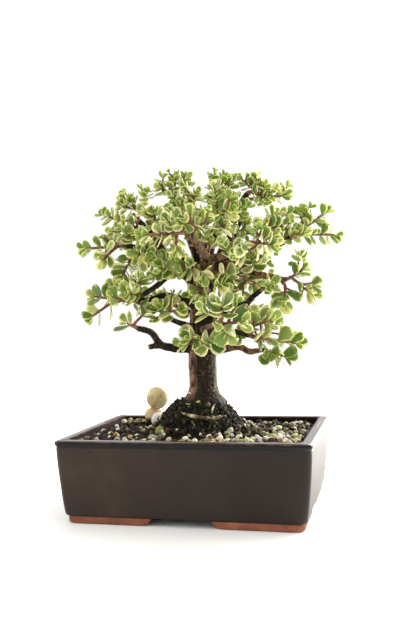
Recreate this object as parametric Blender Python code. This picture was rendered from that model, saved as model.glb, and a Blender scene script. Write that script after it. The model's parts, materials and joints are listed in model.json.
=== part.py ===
"""Variegated dwarf jade bonsai in a glazed rectangular pot.

The pot's middle on the floor is the middle of the design: X runs along the pot, Y away from
its front and Z up. The tree is laid out in a frame of its own, in millimetres, with its origin
where the trunk meets the level of the pot's rim and turned a little about Z against the pot.
Lengths with MM are metres, and the tree's routes are whole millimetres.
"""
import math
import random

import bmesh
import bpy
from mathutils import Matrix, Quaternion, Vector
from mathutils.bvhtree import BVHTree

MM = 0.001

# Where the middle of the pot lies in the part's frame, whose origin is under the middle of the
# box round pot and crown: the crown reaches further out on the right and at the back
POT_PLACE = Vector((-9.8, -10.6, 0.0)) * MM

# Pot
POT_LENGTH = 200 * MM
POT_DEPTH = 140 * MM
POT_HEIGHT = 64 * MM
LIP_HEIGHT = 4 * MM
LIP_PROUD = 1.0 * MM
CORNER_RADIUS = 5 * MM
RIM_WIDTH = 9 * MM
CAVITY_DRAFT = 6 * MM
FOOT_HEIGHT = 6 * MM
FOOT_WIDTH = 11 * MM
FOOT_SET_BACK = 8 * MM
FLOOR_THICKNESS = 5 * MM
LONG_NOTCH = 62 * MM
SHORT_NOTCH = 32 * MM
NOTCH_SLANT = 4 * MM
DRAIN_RADIUS = 7 * MM
DRAIN_OFFSET = 46 * MM
DRILL_DEPTH = 40 * MM
# Inset of the wall at each height, from the foot to the lip
WALL_PROFILE = (
    (0.0 * MM, 9.0 * MM),
    (1.2 * MM, 8.2 * MM),
    (FOOT_HEIGHT - 0.4 * MM, 8.0 * MM),
    (FOOT_HEIGHT, 6.8 * MM),
    (8.0 * MM, 5.8 * MM),
    (24.0 * MM, 3.6 * MM),
    (46.0 * MM, 1.6 * MM),
    (POT_HEIGHT - LIP_HEIGHT, LIP_PROUD),
    (POT_HEIGHT - LIP_HEIGHT + 1.0 * MM, 0.1 * MM),
    (POT_HEIGHT - 1.0 * MM, 0.0 * MM),
    (POT_HEIGHT, 1.0 * MM),
)
SIDE_DEPTH_SHARE = 0.45

# Drain screens
SCREEN_SIDE = 24 * MM
SCREEN_THICKNESS = 1.2 * MM
SCREEN_HOLE = 6.0 * MM
SCREEN_PITCH = 4.0 * MM

# Soil
GAP = 0.3 * MM
SOIL_LEVEL = 59 * MM
SOIL_STEPS_X = 20
SOIL_STEPS_Y = 14
MOUND_HEIGHT = 27 * MM
MOUND_RADIUS = 33.5 * MM
MOUND_SHIFT = -4.5 * MM
CRUMB_HEIGHT = 1.5 * MM
# Waves of the crumbs, and the slower ones that bend them, in radians for each metre
CRUMB_WAVES = 390
BENDING_WAVES = (90, 70)
BENDING = 1.5
PELLET_COUNT = 14
PELLET_RADIUS = (3.0 * MM, 4.4 * MM)
PELLET_LENGTH_SHARE = (0.95, 1.25)
PELLET_HEIGHT_SHARE = (0.75, 0.95)
PELLET_RISE = 0.2
PELLET_SPACING = 0.95
# Share of pellets kept at the back left, and the direction in which they lie thicker
THINNEST = 0.35
THICKER_TOWARDS = (0.6, -0.8)
CLEAR_OF_TRUNK = 36 * MM
CLEAR_OF_STONES = 16 * MM

# Stones, each with its centre, its radii and its turn about Z
STONES = {
    "beige_stone": (Vector((-53.5, 38, 68.5)) * MM, Vector((10.0, 7.5, 7.5)) * MM, 12),
    "white_stone": (Vector((-45, 25, 66.5)) * MM, Vector((6.8, 5.0, 6.4)) * MM, -15),
}
ROUND_STONE_PLACE = Vector((-47.5, 34.5, 100)) * MM
ROUND_STONE_RADII = Vector((10.8, 9.8, 10.2)) * MM
SETTLING_STEP = 0.1 * MM
STONE_WAVINESS = 0.03
STONE_WAVES = (3.1, 2.3, 4.0)
# Low heap of soil that the stones are bedded in
HEAP_PLACE = Vector((-50, 36)) * MM
HEAP_HEIGHT = 6 * MM
HEAP_RADIUS = 17 * MM

# Tree
TREE_PLACE = Vector((2.5, 4.0, 64.0)) * MM
TREE_TURN = math.radians(14.24)
TRUNK_SIDES = 12
LIMB_SIDES = 8
THIN_LIMB_SIDES = 6
THIN_LIMB = 5.0
TWIG_SIDES = 4
TRUNK = (
    ((0, 0, -26), 8.0),
    ((0, 0, -12), 12.5),
    ((0, 0, 2), 16.5),
    ((0, 0, 12), 18.6),
    ((0, 0, 18), 19.0),
    ((0, 0, 22), 18.2),
    ((0, 0, 26), 15.0),
    ((0, 0, 31), 12.6),
    ((0, 0, 38), 11.5),
    ((0, 0, 60), 11.6),
    ((1, 0, 78), 11.4),
    ((2, 0, 92), 11.2),
    ((3, 0, 104), 10.6),
    ((4, -1, 113), 8.6),
)
# Level up to which the trunk's flared base can be buried
ROOT_TOP = 22
# Each limb's route, and its radius at the trunk and at its end
LIMBS = {
    "low_left": (
        ((0, 0, 66), (-16, -4, 66), (-25, -6, 67), (-34, -8, 70), (-41, -10, 80), (-51, -16, 84)),
        (4.2, 2.4),
    ),
    "low_left_stub": (((-30, -7, 69), (-38, -9, 69), (-44, -10, 68)), (2.6, 2.2)),
    "low_right": (
        ((0, 0, 63), (16, -3, 64), (30, -5, 66), (38, -6, 62), (44, -6, 62), (51, -6, 63)),
        (3.6, 2.0),
    ),
    "second_right": (((2, 0, 84), (14, -14, 82), (24, -20, 80), (40, -24, 75)), (3.0, 1.9)),
    "right_mid": (
        ((2, 0, 86), (17, -10, 95), (30, -12, 99), (37, -12, 101), (42, -12, 106), (50, -12, 112)),
        (3.4, 2.2),
    ),
    "right_main": (
        ((4, 0, 106), (10, 6, 122), (16, 9, 133), (31, 4, 133), (40, 0, 129), (53, -7, 124),
         (70, -4, 120)),
        (6.0, 2.2),
    ),
    "right_grey": (((11, 8, 122), (19, 28, 123), (28, 35, 124), (38, 40, 125)), (2.4, 2.0)),
    "right_up": (
        ((14, 8, 130), (24, 9, 142), (37, 8, 147), (49, 6, 145), (61, 4, 148), (71, 0, 152),
         (81, -2, 158)),
        (4.2, 2.4),
    ),
    "top_right": (
        ((14, 8, 130), (20, 13, 147), (30, 14, 163), (37, 16, 178), (38, 17, 188), (43, 16, 196)),
        (4.6, 2.4),
    ),
    "front_main": (((3, -2, 108), (1, -13, 119), (4, -21, 128), (8, -32, 138)), (6.0, 4.6)),
    "front_right": (((8, -32, 138), (15, -38, 138), (23, -44, 140), (40, -54, 147)), (3.4, 2.6)),
    "front_left": (((8, -32, 137), (2, -43, 144), (-3, -51, 150), (-7, -58, 155)), (3.6, 2.4)),
    "top_mid": (((6, -22, 130), (10, -18, 146), (14, -12, 162), (17, -10, 174)), (3.4, 2.2)),
    "top_left": (((1, -8, 118), (-2, -6, 140), (-8, -4, 158), (-13, -2, 171), (-19, 0, 184)), (4.0, 2.2)),
    "left_main": (
        ((3, -1, 110), (-3, -6, 121), (-10, -8, 126), (-23, -6, 135), (-32, -4, 143), (-44, -2, 148),
         (-59, 0, 152)),
        (6.4, 2.4),
    ),
    "left_down": (((-19, -7, 132), (-29, -10, 124), (-35, -14, 118), (-47, -24, 110)), (3.2, 2.1)),
    "left_up": (((-26, -5, 138), (-32, -8, 152), (-40, -6, 164), (-49, -4, 172)), (3.6, 2.2)),
    "left_mid": (
        ((0, 0, 96), (-10, -8, 104), (-20, -12, 108), (-30, -14, 110), (-40, -16, 107), (-62, -12, 107)),
        (3.6, 2.0),
    ),
    "left_low_mid": (((0, 0, 80), (-11, -10, 85), (-19, -15, 88), (-27, -22, 92)), (2.8, 2.0)),
    "front_low": (((1, -2, 80), (6, -26, 83), (11, -44, 85), (15, -60, 88)), (3.6, 2.4)),
    "back_left": (((2, 2, 106), (-8, 22, 121), (-18, 40, 134), (-30, 58, 145)), (4.4, 2.2)),
    "back_right": (((4, 2, 100), (14, 24, 110), (26, 42, 120), (38, 60, 129)), (4.0, 2.2)),
    "back_up": (((6, 2, 110), (5, 18, 136), (4, 32, 158), (4, 46, 174)), (4.6, 2.2)),
    "back_low": (((0, 2, 84), (-5, 24, 89), (-12, 44, 96), (-22, 60, 101)), (3.6, 2.0)),
}
LIMB_NAMES = ("trunk", *LIMBS)
# Leafy sprays: the limb that each springs from, and the tips that its stems reach, each with
# the number of leaf pairs on that stem
SPRAYS = (
    ("low_left", (-60, -20, 89, 3), (-44, -14, 98, 2)),
    ("low_right", (69, -6, 56, 3), (55, -16, 60, 2)),
    ("low_right", (31, -14, 74, 2)),
    ("second_right", (76, -22, 68, 3), (61, -16, 84, 2)),
    ("second_right", (42, -32, 90, 3)),
    ("right_mid", (54, -18, 84, 3)),
    ("right_mid", (58, -16, 116, 3)),
    ("right_main", (86, -4, 128, 3), (94, 0, 106, 2)),
    ("right_main", (68, -14, 102, 3)),
    ("right_main", (42, -24, 137, 3)),
    ("right_grey", (46, 50, 118, 2), (33, 48, 112, 1)),
    ("front_right", (56, -66, 144, 3), (44, -64, 155, 2), (30, -62, 136, 2)),
    ("right_up", (108, 2, 176, 4), (86, 8, 178, 2)),
    ("right_up", (116, 6, 156, 4)),
    ("right_up", (79, -16, 158, 3)),
    ("right_up", (64, -4, 173, 3), (50, -28, 163, 2)),
    ("top_right", (57, -4, 188, 3)),
    ("top_right", (76, 16, 193, 3), (52, 10, 204, 2), (38, 18, 208, 2)),
    ("top_right", (34, -20, 180, 3)),
    ("top_mid", (28, -6, 205, 3), (14, -14, 205, 2)),
    ("top_mid", (15, -40, 185, 3), (26, -44, 174, 2)),
    ("top_left", (-18, 0, 208, 3), (-7, 10, 208, 2), (-30, -6, 198, 2)),
    ("top_left", (-1, -26, 190, 3), (-16, -40, 178, 2)),
    ("left_up", (-42, -2, 196, 3), (-55, 4, 192, 2), (-63, -6, 184, 2)),
    ("left_up", (-80, 4, 180, 4), (-71, -6, 164, 2)),
    ("left_up", (-34, -36, 174, 3)),
    ("left_main", (-96, 0, 151, 4), (-78, -16, 140, 2)),
    ("left_main", (-64, -6, 127, 3)),
    ("left_main", (-52, -26, 160, 3), (-40, -30, 142, 2)),
    ("front_left", (-42, -62, 154, 4), (-17, -60, 142, 2)),
    ("front_left", (8, -60, 164, 3), (-20, -44, 168, 2)),
    ("left_mid", (-86, -12, 111, 3), (-88, -16, 95, 2)),
    ("left_mid", (-72, -6, 119, 3)),
    ("left_mid", (-49, -32, 118, 3), (-40, -30, 100, 2)),
    ("left_down", (-56, -36, 112, 3), (-44, -36, 126, 2)),
    ("left_main", (-30, -36, 131, 3)),
    ("left_low_mid", (-32, -36, 100, 3), (-18, -36, 98, 2)),
    ("front_low", (16, -74, 100, 3), (3, -66, 96, 2)),
    ("front_low", (30, -72, 88, 3), (27, -58, 102, 2), (20, -70, 79, 2)),
    ("trunk", (7, -32, 71, 3), (-9, -34, 75, 2)),
    ("front_main", (-12, -40, 129, 3)),
    ("front_main", (18, -32, 116, 2), (-6, -32, 110, 2)),
    ("left_main", (-70, 24, 158, 2), (-50, 26, 136, 1)),
    ("right_up", (90, 34, 166, 2), (62, 36, 172, 2)),
    ("back_left", (-46, 72, 158, 2), (-20, 74, 150, 2)),
    ("back_left", (-52, 42, 142, 2), (-30, 38, 166, 1)),
    ("back_right", (54, 72, 138, 2), (30, 78, 128, 2)),
    ("back_right", (52, 38, 148, 2), (60, 50, 116, 1)),
    ("back_up", (2, 70, 184, 2), (-20, 50, 186, 2)),
    ("back_up", (28, 46, 190, 2), (16, 30, 202, 2)),
    ("back_low", (-36, 74, 108, 2), (-10, 80, 98, 1)),
    ("back_low", (-46, 46, 112, 2), (4, 54, 108, 1)),
)
SPUR_RADIUS = 2.1
SPUR_LENGTH = 2.2
STEM_RADII = (1.7, 1.0)
SIDE_STEM_SHARE = 0.85
LONG_STEM = 30
STRAIGHT_START = 3.0
ARCH = 0.35
STEM_GAP = 0.3
STEM_ROOM = 0.45
# How a stem finds room: it leaves partly along its limb, and each try slides and turns it more
FOLLOWING_LIMB = 0.3
LEAST_SLANT = 0.35
BARE_SHARE = 0.2
STEM_TRIES = 40
SLIDING_STEP = 2.5
WOBBLE = 0.05
TIP_WOBBLE = 0.4
# Share of the main stem at which its first side stem starts, the step to the next and the
# step of each try
SIDE_STEM_START = 0.16
SIDE_STEM_STEP = 0.17
SIDE_STEM_SLIDE = 0.02
SIDE_STEM_TRIES = 24
LEAF_GAP = 0.45
# Leaf length at the foot of the crown and at its top, and the heights between which it falls
LEAF_LENGTHS = (15.5, 10.5)
CROWN_HEIGHTS = (90, 190)
LEAF_LENGTH_DRAW = (0.86, 1.12)
LEAF_WIDTH_SHARE = 0.78
LEAF_FLARE = (0.70, 0.60)
LEAF_THICKNESS = 1.9
LEAF_SIDES = 5
LEAF_THICKEST = 0.55
LEAF_SEAT = 0.4
BEND_DRAW = (-0.05, 0.3)
YOUNG_SHARES = (0.66, 0.9)
INTERNODES = (3.2, 5.0, 6.4)
SPREADING = (0.7, 1.0, 1.2)
LONGEST_INTERNODE = 9.0
SPACING_DRAW = (0.9, 1.1)
TIP_BUD = 0.8
BARE_FOOT = 3.0
# Angle between leaf and stem for each pair from the tip, in degrees
PAIR_ANGLES = (38, 54, 70)
ANGLE_DRAW = 8
LIGHT_SEEKING = 0.5
# How a leaf finds room: each try makes it smaller by a share and turns it by some degrees more
LEAF_TRIES = 8
SHRINKING = 0.045
TURNING = 8
SEED = 7

# Finishes: base colour, roughness and metallic value
FINISHES = {
    "glazed_stoneware": ((0.045, 0.031, 0.026), 0.28, 0.0),
    "potting_mix": ((0.012, 0.010, 0.008), 0.95, 0.0),
    "black_plastic_mesh": ((0.02, 0.02, 0.02), 0.6, 0.0),
    "river_stone": ((0.62, 0.50, 0.38), 0.8, 0.0),
    "white_stone": ((0.78, 0.77, 0.73), 0.8, 0.0),
    "bark": ((0.11, 0.075, 0.05), 0.85, 0.0),
    "succulent_leaf": ((0.22, 0.36, 0.09), 0.4, 0.0),
}


def clear_scene():
    """Remove every object that the file opens with."""
    for thing in list(bpy.data.objects):
        bpy.data.objects.remove(thing, do_unlink=True)


def finish_material(name):
    """Give the material of one finish, made at its first use."""
    if name in bpy.data.materials:
        return bpy.data.materials[name]
    colour, roughness, metallic = FINISHES[name]
    material = bpy.data.materials.new(name)
    material.use_nodes = True
    shader = material.node_tree.nodes["Principled BSDF"]
    shader.inputs["Base Color"].default_value = (*colour, 1.0)
    shader.inputs["Roughness"].default_value = roughness
    shader.inputs["Metallic"].default_value = metallic
    return material


def new_object(name, mesh, collection):
    """Link a new object that shows one mesh."""
    thing = bpy.data.objects.new(name, mesh)
    collection.objects.link(thing)
    return thing


def mesh_from(bm, name):
    """Turn a finished bmesh into a mesh with its faces pointing out."""
    bmesh.ops.recalc_face_normals(bm, faces=bm.faces)
    mesh = bpy.data.meshes.new(name)
    bm.to_mesh(mesh)
    bm.free()
    return mesh


def evaluated_mesh(thing):
    """Read an object's mesh with its modifiers applied."""
    bpy.context.view_layer.update()
    graph = bpy.context.evaluated_depsgraph_get()
    return bpy.data.meshes.new_from_object(thing.evaluated_get(graph), depsgraph=graph)


def combine(base, others, operation, solver="EXACT"):
    """Join or cut one object with several others, which are then removed."""
    group = bpy.data.collections.new("operands")
    bpy.context.scene.collection.children.link(group)
    for other in others:
        for holder in list(other.users_collection):
            holder.objects.unlink(other)
        group.objects.link(other)
    modifier = base.modifiers.new("combine", "BOOLEAN")
    modifier.operation = operation
    modifier.operand_type = "COLLECTION"
    modifier.collection = group
    modifier.solver = solver
    mesh = evaluated_mesh(base)
    base.modifiers.clear()
    base.data = mesh
    for other in others:
        bpy.data.objects.remove(other, do_unlink=True)
    bpy.data.collections.remove(group)
    return base


def tube_mesh(name, route, radii, sides, grow=0.0):
    """Sweep a round section along a route, with flat filled ends."""
    curve = bpy.data.curves.new(name, "CURVE")
    curve.dimensions = "3D"
    curve.bevel_depth = 1.0
    curve.bevel_resolution = sides // 2 - 2
    curve.use_fill_caps = True
    spline = curve.splines.new("POLY")
    spline.points.add(len(route) - 1)
    for point, place, radius in zip(spline.points, route, radii):
        point.co = (*place, 1.0)
        point.radius = radius + grow
    guide = new_object(name, curve, bpy.context.scene.collection)
    mesh = evaluated_mesh(guide)
    bpy.data.objects.remove(guide, do_unlink=True)
    bpy.data.curves.remove(curve)
    bm = bmesh.new()
    bm.from_mesh(mesh)
    bmesh.ops.remove_doubles(bm, verts=bm.verts, dist=0.001)
    bpy.data.meshes.remove(mesh)
    return mesh_from(bm, name)


def tree_matrix():
    """Take the tree's own millimetres to the pot's frame in metres."""
    place = Matrix.Translation(TREE_PLACE)
    turn = Matrix.Rotation(TREE_TURN, 4, "Z")
    return place @ turn @ Matrix.Scale(MM, 4)


def surface_tree(mesh):
    """Make the search tree that tells whether two surfaces cross."""
    corners = [vertex.co.copy() for vertex in mesh.vertices]
    faces = [tuple(face.vertices) for face in mesh.polygons]
    return BVHTree.FromPolygons(corners, faces)


# The pot


def rounded(x, y, half_x, half_y, radius):
    """Pull a point near a rectangle's corner in to the corner's arc."""
    over_x = abs(x) - (half_x - radius)
    over_y = abs(y) - (half_y - radius)
    if over_x <= 0 or over_y <= 0:
        return x, y
    reach = math.hypot(over_x, over_y)
    if reach <= radius:
        return x, y
    x = math.copysign(half_x - radius + over_x * radius / reach, x)
    y = math.copysign(half_y - radius + over_y * radius / reach, y)
    return x, y


def box_bmesh(low, high):
    """A box between two corners."""
    bm = bmesh.new()
    bmesh.ops.create_cube(bm, size=1.0)
    for vertex in bm.verts:
        for axis in range(3):
            middle = (low[axis] + high[axis]) / 2
            vertex.co[axis] = middle + vertex.co[axis] * (high[axis] - low[axis])
    return bm


def bevel_upright_edges(bm, radius, segments):
    """Round the edges that run up a box's corners."""
    upright = [edge for edge in bm.edges if is_upright(edge)]
    bmesh.ops.bevel(bm, geom=upright, offset=radius, segments=segments, affect="EDGES", profile=0.5)


def is_upright(edge):
    """Tell an edge that climbs from one that runs round."""
    run = edge.verts[1].co - edge.verts[0].co
    return abs(run.z) > 0.5 * run.length


def pot_body():
    """The outer block of the pot: a box with round corners, cut level by level and drawn in."""
    half_x = POT_LENGTH / 2
    half_y = POT_DEPTH / 2
    bm = box_bmesh((-half_x, -half_y, 0), (half_x, half_y, POT_HEIGHT))
    bevel_upright_edges(bm, CORNER_RADIUS, 3)
    for height, _ in WALL_PROFILE[1:-1]:
        geometry = bm.verts[:] + bm.edges[:] + bm.faces[:]
        bmesh.ops.bisect_plane(bm, geom=geometry, plane_co=(0, 0, height), plane_no=(0, 0, 1))
    for vertex in bm.verts:
        inset = min(WALL_PROFILE, key=lambda ring: abs(ring[0] - vertex.co.z))[1]
        side_inset = LIP_PROUD + (inset - LIP_PROUD) * SIDE_DEPTH_SHARE if inset > LIP_PROUD else inset
        vertex.co.x -= math.copysign(inset, vertex.co.x)
        vertex.co.y -= math.copysign(side_inset, vertex.co.y)
    return bm


def pot_cavity():
    """The space that the soil fills: it narrows towards the floor as the wall does."""
    floor = FOOT_HEIGHT + FLOOR_THICKNESS
    half_x = POT_LENGTH / 2 - RIM_WIDTH
    half_y = POT_DEPTH / 2 - RIM_WIDTH
    bm = box_bmesh((-half_x, -half_y, floor), (half_x, half_y, POT_HEIGHT + 5 * MM))
    bevel_upright_edges(bm, CORNER_RADIUS, 3)
    for vertex in bm.verts:
        if vertex.co.z < POT_HEIGHT:
            vertex.co.x -= math.copysign(CAVITY_DRAFT, vertex.co.x)
            vertex.co.y -= math.copysign(CAVITY_DRAFT * SIDE_DEPTH_SHARE, vertex.co.y)
    return bm


def foot_recess():
    """The hollow inside the foot ring, under the floor."""
    half_x = POT_LENGTH / 2 - FOOT_SET_BACK - FOOT_WIDTH
    half_y = POT_DEPTH / 2 - FOOT_SET_BACK * SIDE_DEPTH_SHARE - FOOT_WIDTH
    bm = box_bmesh((-half_x, -half_y, -FOOT_HEIGHT), (half_x, half_y, FOOT_HEIGHT))
    bevel_upright_edges(bm, CORNER_RADIUS, 2)
    return bm


def notch(length, reach, along_x):
    """A slot through two opposite sides of the foot ring, wider at the floor than at its top."""
    half = length / 2
    low = (-half, -reach, -FOOT_HEIGHT)
    high = (half, reach, FOOT_HEIGHT)
    bm = box_bmesh(low, high)
    for vertex in bm.verts:
        if vertex.co.z > 0:
            vertex.co.x -= math.copysign(NOTCH_SLANT, vertex.co.x)
        else:
            vertex.co.x += math.copysign(NOTCH_SLANT, vertex.co.x)
    if not along_x:
        bmesh.ops.rotate(bm, verts=bm.verts, matrix=Matrix.Rotation(math.pi / 2, 3, "Z"))
    return bm


def drain_hole(x):
    """A round cutter for one drain hole."""
    bm = bmesh.new()
    bmesh.ops.create_cone(
        bm, cap_ends=True, segments=16, radius1=DRAIN_RADIUS, radius2=DRAIN_RADIUS, depth=DRILL_DEPTH
    )
    bmesh.ops.translate(bm, verts=bm.verts, vec=(x, 0, 0))
    return bm


def make_pot(collection, cutters):
    """Hollow the pot, and cut its foot ring and drain holes."""
    pot = new_object("pot", mesh_from(pot_body(), "pot"), collection)
    shapes = [pot_cavity(), foot_recess()]
    shapes.append(notch(LONG_NOTCH - 2 * NOTCH_SLANT, POT_DEPTH, True))
    shapes.append(notch(SHORT_NOTCH - 2 * NOTCH_SLANT, POT_LENGTH, False))
    shapes += [drain_hole(side * DRAIN_OFFSET) for side in (-1, 1)]
    tools = [new_object("pot_cutter", mesh_from(bm, "pot_cutter"), cutters) for bm in shapes]
    combine(pot, tools, "DIFFERENCE")
    pot.data.materials.append(finish_material("glazed_stoneware"))
    return pot


def make_screen(name, x, collection, cutters):
    """A square of plastic mesh over a drain hole."""
    floor = FOOT_HEIGHT + FLOOR_THICKNESS + GAP
    half = SCREEN_SIDE / 2
    plate = box_bmesh((x - half, -half, floor), (x + half, half, floor + SCREEN_THICKNESS))
    screen = new_object(name, mesh_from(plate, name), collection)
    tools = []
    for column in (-1, 1):
        for row in (-1, 1):
            middle_x = x + column * SCREEN_PITCH
            middle_y = row * SCREEN_PITCH
            low = (middle_x - SCREEN_HOLE / 2, middle_y - SCREEN_HOLE / 2, floor - 1 * MM)
            above = floor + SCREEN_THICKNESS + 1 * MM
            high = (middle_x + SCREEN_HOLE / 2, middle_y + SCREEN_HOLE / 2, above)
            mesh = mesh_from(box_bmesh(low, high), "screen_cutter")
            tools.append(new_object("screen_cutter", mesh, cutters))
    combine(screen, tools, "DIFFERENCE")
    screen.data.materials.append(finish_material("black_plastic_mesh"))
    return screen


# The soil and the stones


def soil_height(x, y):
    """Height of the soil: level, heaped round the trunk and crumbly all over."""
    distance = math.hypot(x - TREE_PLACE.x - MOUND_SHIFT, y - TREE_PLACE.y)
    mound = MOUND_HEIGHT * math.exp(-((distance / MOUND_RADIUS) ** 4))
    heap = HEAP_HEIGHT * math.exp(-((x - HEAP_PLACE.x) ** 2 + (y - HEAP_PLACE.y) ** 2) / HEAP_RADIUS ** 2)
    across = math.sin(x * CRUMB_WAVES + BENDING * math.sin(y * BENDING_WAVES[0]))
    along = math.sin(y * CRUMB_WAVES + BENDING * math.sin(x * BENDING_WAVES[1]))
    return SOIL_LEVEL + mound + heap + CRUMB_HEIGHT * across * along


def soil_half_sizes(height):
    """Half length and half width of the soil at a height, a gap inside the pot's wall."""
    floor = FOOT_HEIGHT + FLOOR_THICKNESS
    share = max(0.0, (POT_HEIGHT + 5 * MM - height) / (POT_HEIGHT + 5 * MM - floor))
    half_x = POT_LENGTH / 2 - RIM_WIDTH - CAVITY_DRAFT * share - GAP
    half_y = POT_DEPTH / 2 - RIM_WIDTH - CAVITY_DRAFT * SIDE_DEPTH_SHARE * share - GAP
    return half_x, half_y


def soil_block():
    """A grid raised by the soil's formula, with its rim carried down to the floor and closed."""
    bm = bmesh.new()
    bmesh.ops.create_grid(bm, x_segments=SOIL_STEPS_X, y_segments=SOIL_STEPS_Y, size=1.0)
    rim = [edge for edge in bm.edges if edge.is_boundary]
    skirt = bmesh.ops.extrude_edge_only(bm, edges=rim)["geom"]
    lower = {item for item in skirt if isinstance(item, bmesh.types.BMVert)}
    floor = FOOT_HEIGHT + FLOOR_THICKNESS + GAP
    for vertex in bm.verts:
        level = floor if vertex in lower else SOIL_LEVEL - CRUMB_HEIGHT
        half_x, half_y = soil_half_sizes(level)
        radius = CORNER_RADIUS + 0.4 * MM
        x, y = rounded(vertex.co.x * half_x, vertex.co.y * half_y, half_x, half_y, radius)
        on_rim = vertex.is_boundary or max(abs(vertex.co.x), abs(vertex.co.y)) > 0.999
        z = floor if vertex in lower else soil_height(x, y)
        if on_rim and vertex not in lower:
            z = SOIL_LEVEL - CRUMB_HEIGHT
        vertex.co = (x, y, z)
    bmesh.ops.contextual_create(bm, geom=[edge for edge in bm.edges if edge.is_boundary])
    return bm


def stone_bmesh(place, radii, turn, grow=0.0):
    """A water-worn stone: a sphere drawn out along three axes and a little flattened by waves."""
    bm = bmesh.new()
    bmesh.ops.create_icosphere(bm, subdivisions=2, radius=1.0)
    for vertex in bm.verts:
        level_wave = math.sin(STONE_WAVES[0] * vertex.co.x + STONE_WAVES[1] * vertex.co.y)
        upright_wave = math.sin(STONE_WAVES[2] * vertex.co.z)
        wave = 1.0 + STONE_WAVINESS * (level_wave + upright_wave)
        vertex.co = Vector(vertex.co[axis] * wave * (radii[axis] + grow) for axis in range(3))
    bmesh.ops.rotate(bm, verts=bm.verts, matrix=Matrix.Rotation(math.radians(turn), 3, "Z"))
    bmesh.ops.translate(bm, verts=bm.verts, vec=place)
    return bm


def settled_place(supports):
    """Lower the round stone until its skin, a gap thicker, would meet what lies under it."""
    place = ROUND_STONE_PLACE.copy()
    while True:
        lower = place - Vector((0, 0, SETTLING_STEP))
        mesh = mesh_from(stone_bmesh(lower, ROUND_STONE_RADII, 0, GAP), "trial_stone")
        touching = any(surface_tree(mesh).overlap(support) for support in supports)
        bpy.data.meshes.remove(mesh)
        if touching or lower.z < SOIL_LEVEL:
            return place
        place = lower


def make_stones(collection):
    """Two stones bedded in the soil and a round one lying on them."""
    stones = []
    for name, (place, radii, turn) in STONES.items():
        stones.append(new_object(name, mesh_from(stone_bmesh(place, radii, turn), name), collection))
    place = settled_place([surface_tree(stone.data) for stone in stones])
    mesh = mesh_from(stone_bmesh(place, ROUND_STONE_RADII, 0), "round_stone")
    stones.append(new_object("round_stone", mesh, collection))
    for stone in stones:
        finish = "white_stone" if stone.name == "white_stone" else "river_stone"
        stone.data.materials.append(finish_material(finish))
    return stones


def pellet_bmesh(place, radii, turn):
    """One clay or pumice pellet, an egg-shaped lump of few faces."""
    bm = bmesh.new()
    bmesh.ops.create_icosphere(bm, subdivisions=1, radius=1.0)
    for vertex in bm.verts:
        vertex.co = Vector(vertex.co[axis] * radii[axis] for axis in range(3))
    bmesh.ops.rotate(bm, verts=bm.verts, matrix=Matrix.Rotation(turn, 3, "Z"))
    bmesh.ops.translate(bm, verts=bm.verts, vec=place)
    return bm


def pellet_places(draw):
    """Scatter pellets by a rule: thick along the front and right, thin at the back left."""
    half_x, half_y = soil_half_sizes(SOIL_LEVEL)
    largest = PELLET_RADIUS[1]
    stones = [place for place, _, _ in STONES.values()]
    places = []
    while len(places) < PELLET_COUNT:
        x = draw.uniform(-1, 1) * (half_x - largest - 1 * MM)
        y = draw.uniform(-1, 1) * (half_y - largest - 1 * MM)
        radius = draw.uniform(*PELLET_RADIUS)
        thickness = THICKER_TOWARDS[0] * x / half_x + THICKER_TOWARDS[1] * y / half_y
        keep = THINNEST + (1 - THINNEST) * max(0.0, thickness)
        from_trunk = math.hypot(x - TREE_PLACE.x, y - TREE_PLACE.y)
        near_stone = any(math.hypot(x - stone.x, y - stone.y) < CLEAR_OF_STONES for stone in stones)
        crowded = any(math.hypot(x - px, y - py) < (radius + pr) * PELLET_SPACING for px, py, pr in places)
        if draw.random() < keep and from_trunk > CLEAR_OF_TRUNK and not near_stone and not crowded:
            places.append((x, y, radius))
    return places


def make_soil(collection, cutters):
    """The soil fills the pot round the screens, the trunk and the stones."""
    draw = random.Random(SEED)
    soil = new_object("soil", mesh_from(soil_block(), "soil"), collection)
    ground = surface_tree(soil.data)
    pellets = []
    for x, y, radius in pellet_places(draw):
        length = radius * draw.uniform(*PELLET_LENGTH_SHARE)
        radii = (length, radius, radius * draw.uniform(*PELLET_HEIGHT_SHARE))
        surface = ground.ray_cast(Vector((x, y, 2 * POT_HEIGHT)), Vector((0, 0, -1)))[0]
        place = surface + Vector((0, 0, PELLET_RISE * radius))
        mesh = mesh_from(pellet_bmesh(place, radii, draw.uniform(0, math.pi)), "pellet")
        pellets.append(new_object("pellet", mesh, cutters))
    combine(soil, pellets, "UNION", "MANIFOLD")
    tools = []
    floor = FOOT_HEIGHT + FLOOR_THICKNESS
    for side in (-1, 1):
        half = SCREEN_SIDE / 2 + GAP
        low = (side * DRAIN_OFFSET - half, -half, floor - 1 * MM)
        high = (side * DRAIN_OFFSET + half, half, floor + SCREEN_THICKNESS + 2 * GAP)
        mesh = mesh_from(box_bmesh(low, high), "screen_space")
        tools.append(new_object("screen_space", mesh, cutters))
    for name, (place, radii, turn) in STONES.items():
        mesh = mesh_from(stone_bmesh(place, radii, turn, GAP), name)
        tools.append(new_object("stone_bed", mesh, cutters))
    buried = [(point, radius) for point, radius in TRUNK if point[2] <= ROOT_TOP]
    route = [point for point, _ in buried] + [(0, 0, ROOT_TOP + 20)]
    radii = [max(radius for _, radius in buried[: i + 1]) for i in range(len(buried))]
    radii.append(radii[-1])
    route[0] = (0, 0, route[0][2] - STEM_GAP)
    hole = tube_mesh("trunk_hole", route, radii, TRUNK_SIDES, STEM_GAP)
    hole.transform(tree_matrix())
    tools.append(new_object("trunk_hole", hole, cutters))
    combine(soil, tools, "DIFFERENCE", "MANIFOLD")
    soil.data.materials.append(finish_material("potting_mix"))
    return soil


# The tree's plan, in its own millimetres


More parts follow.
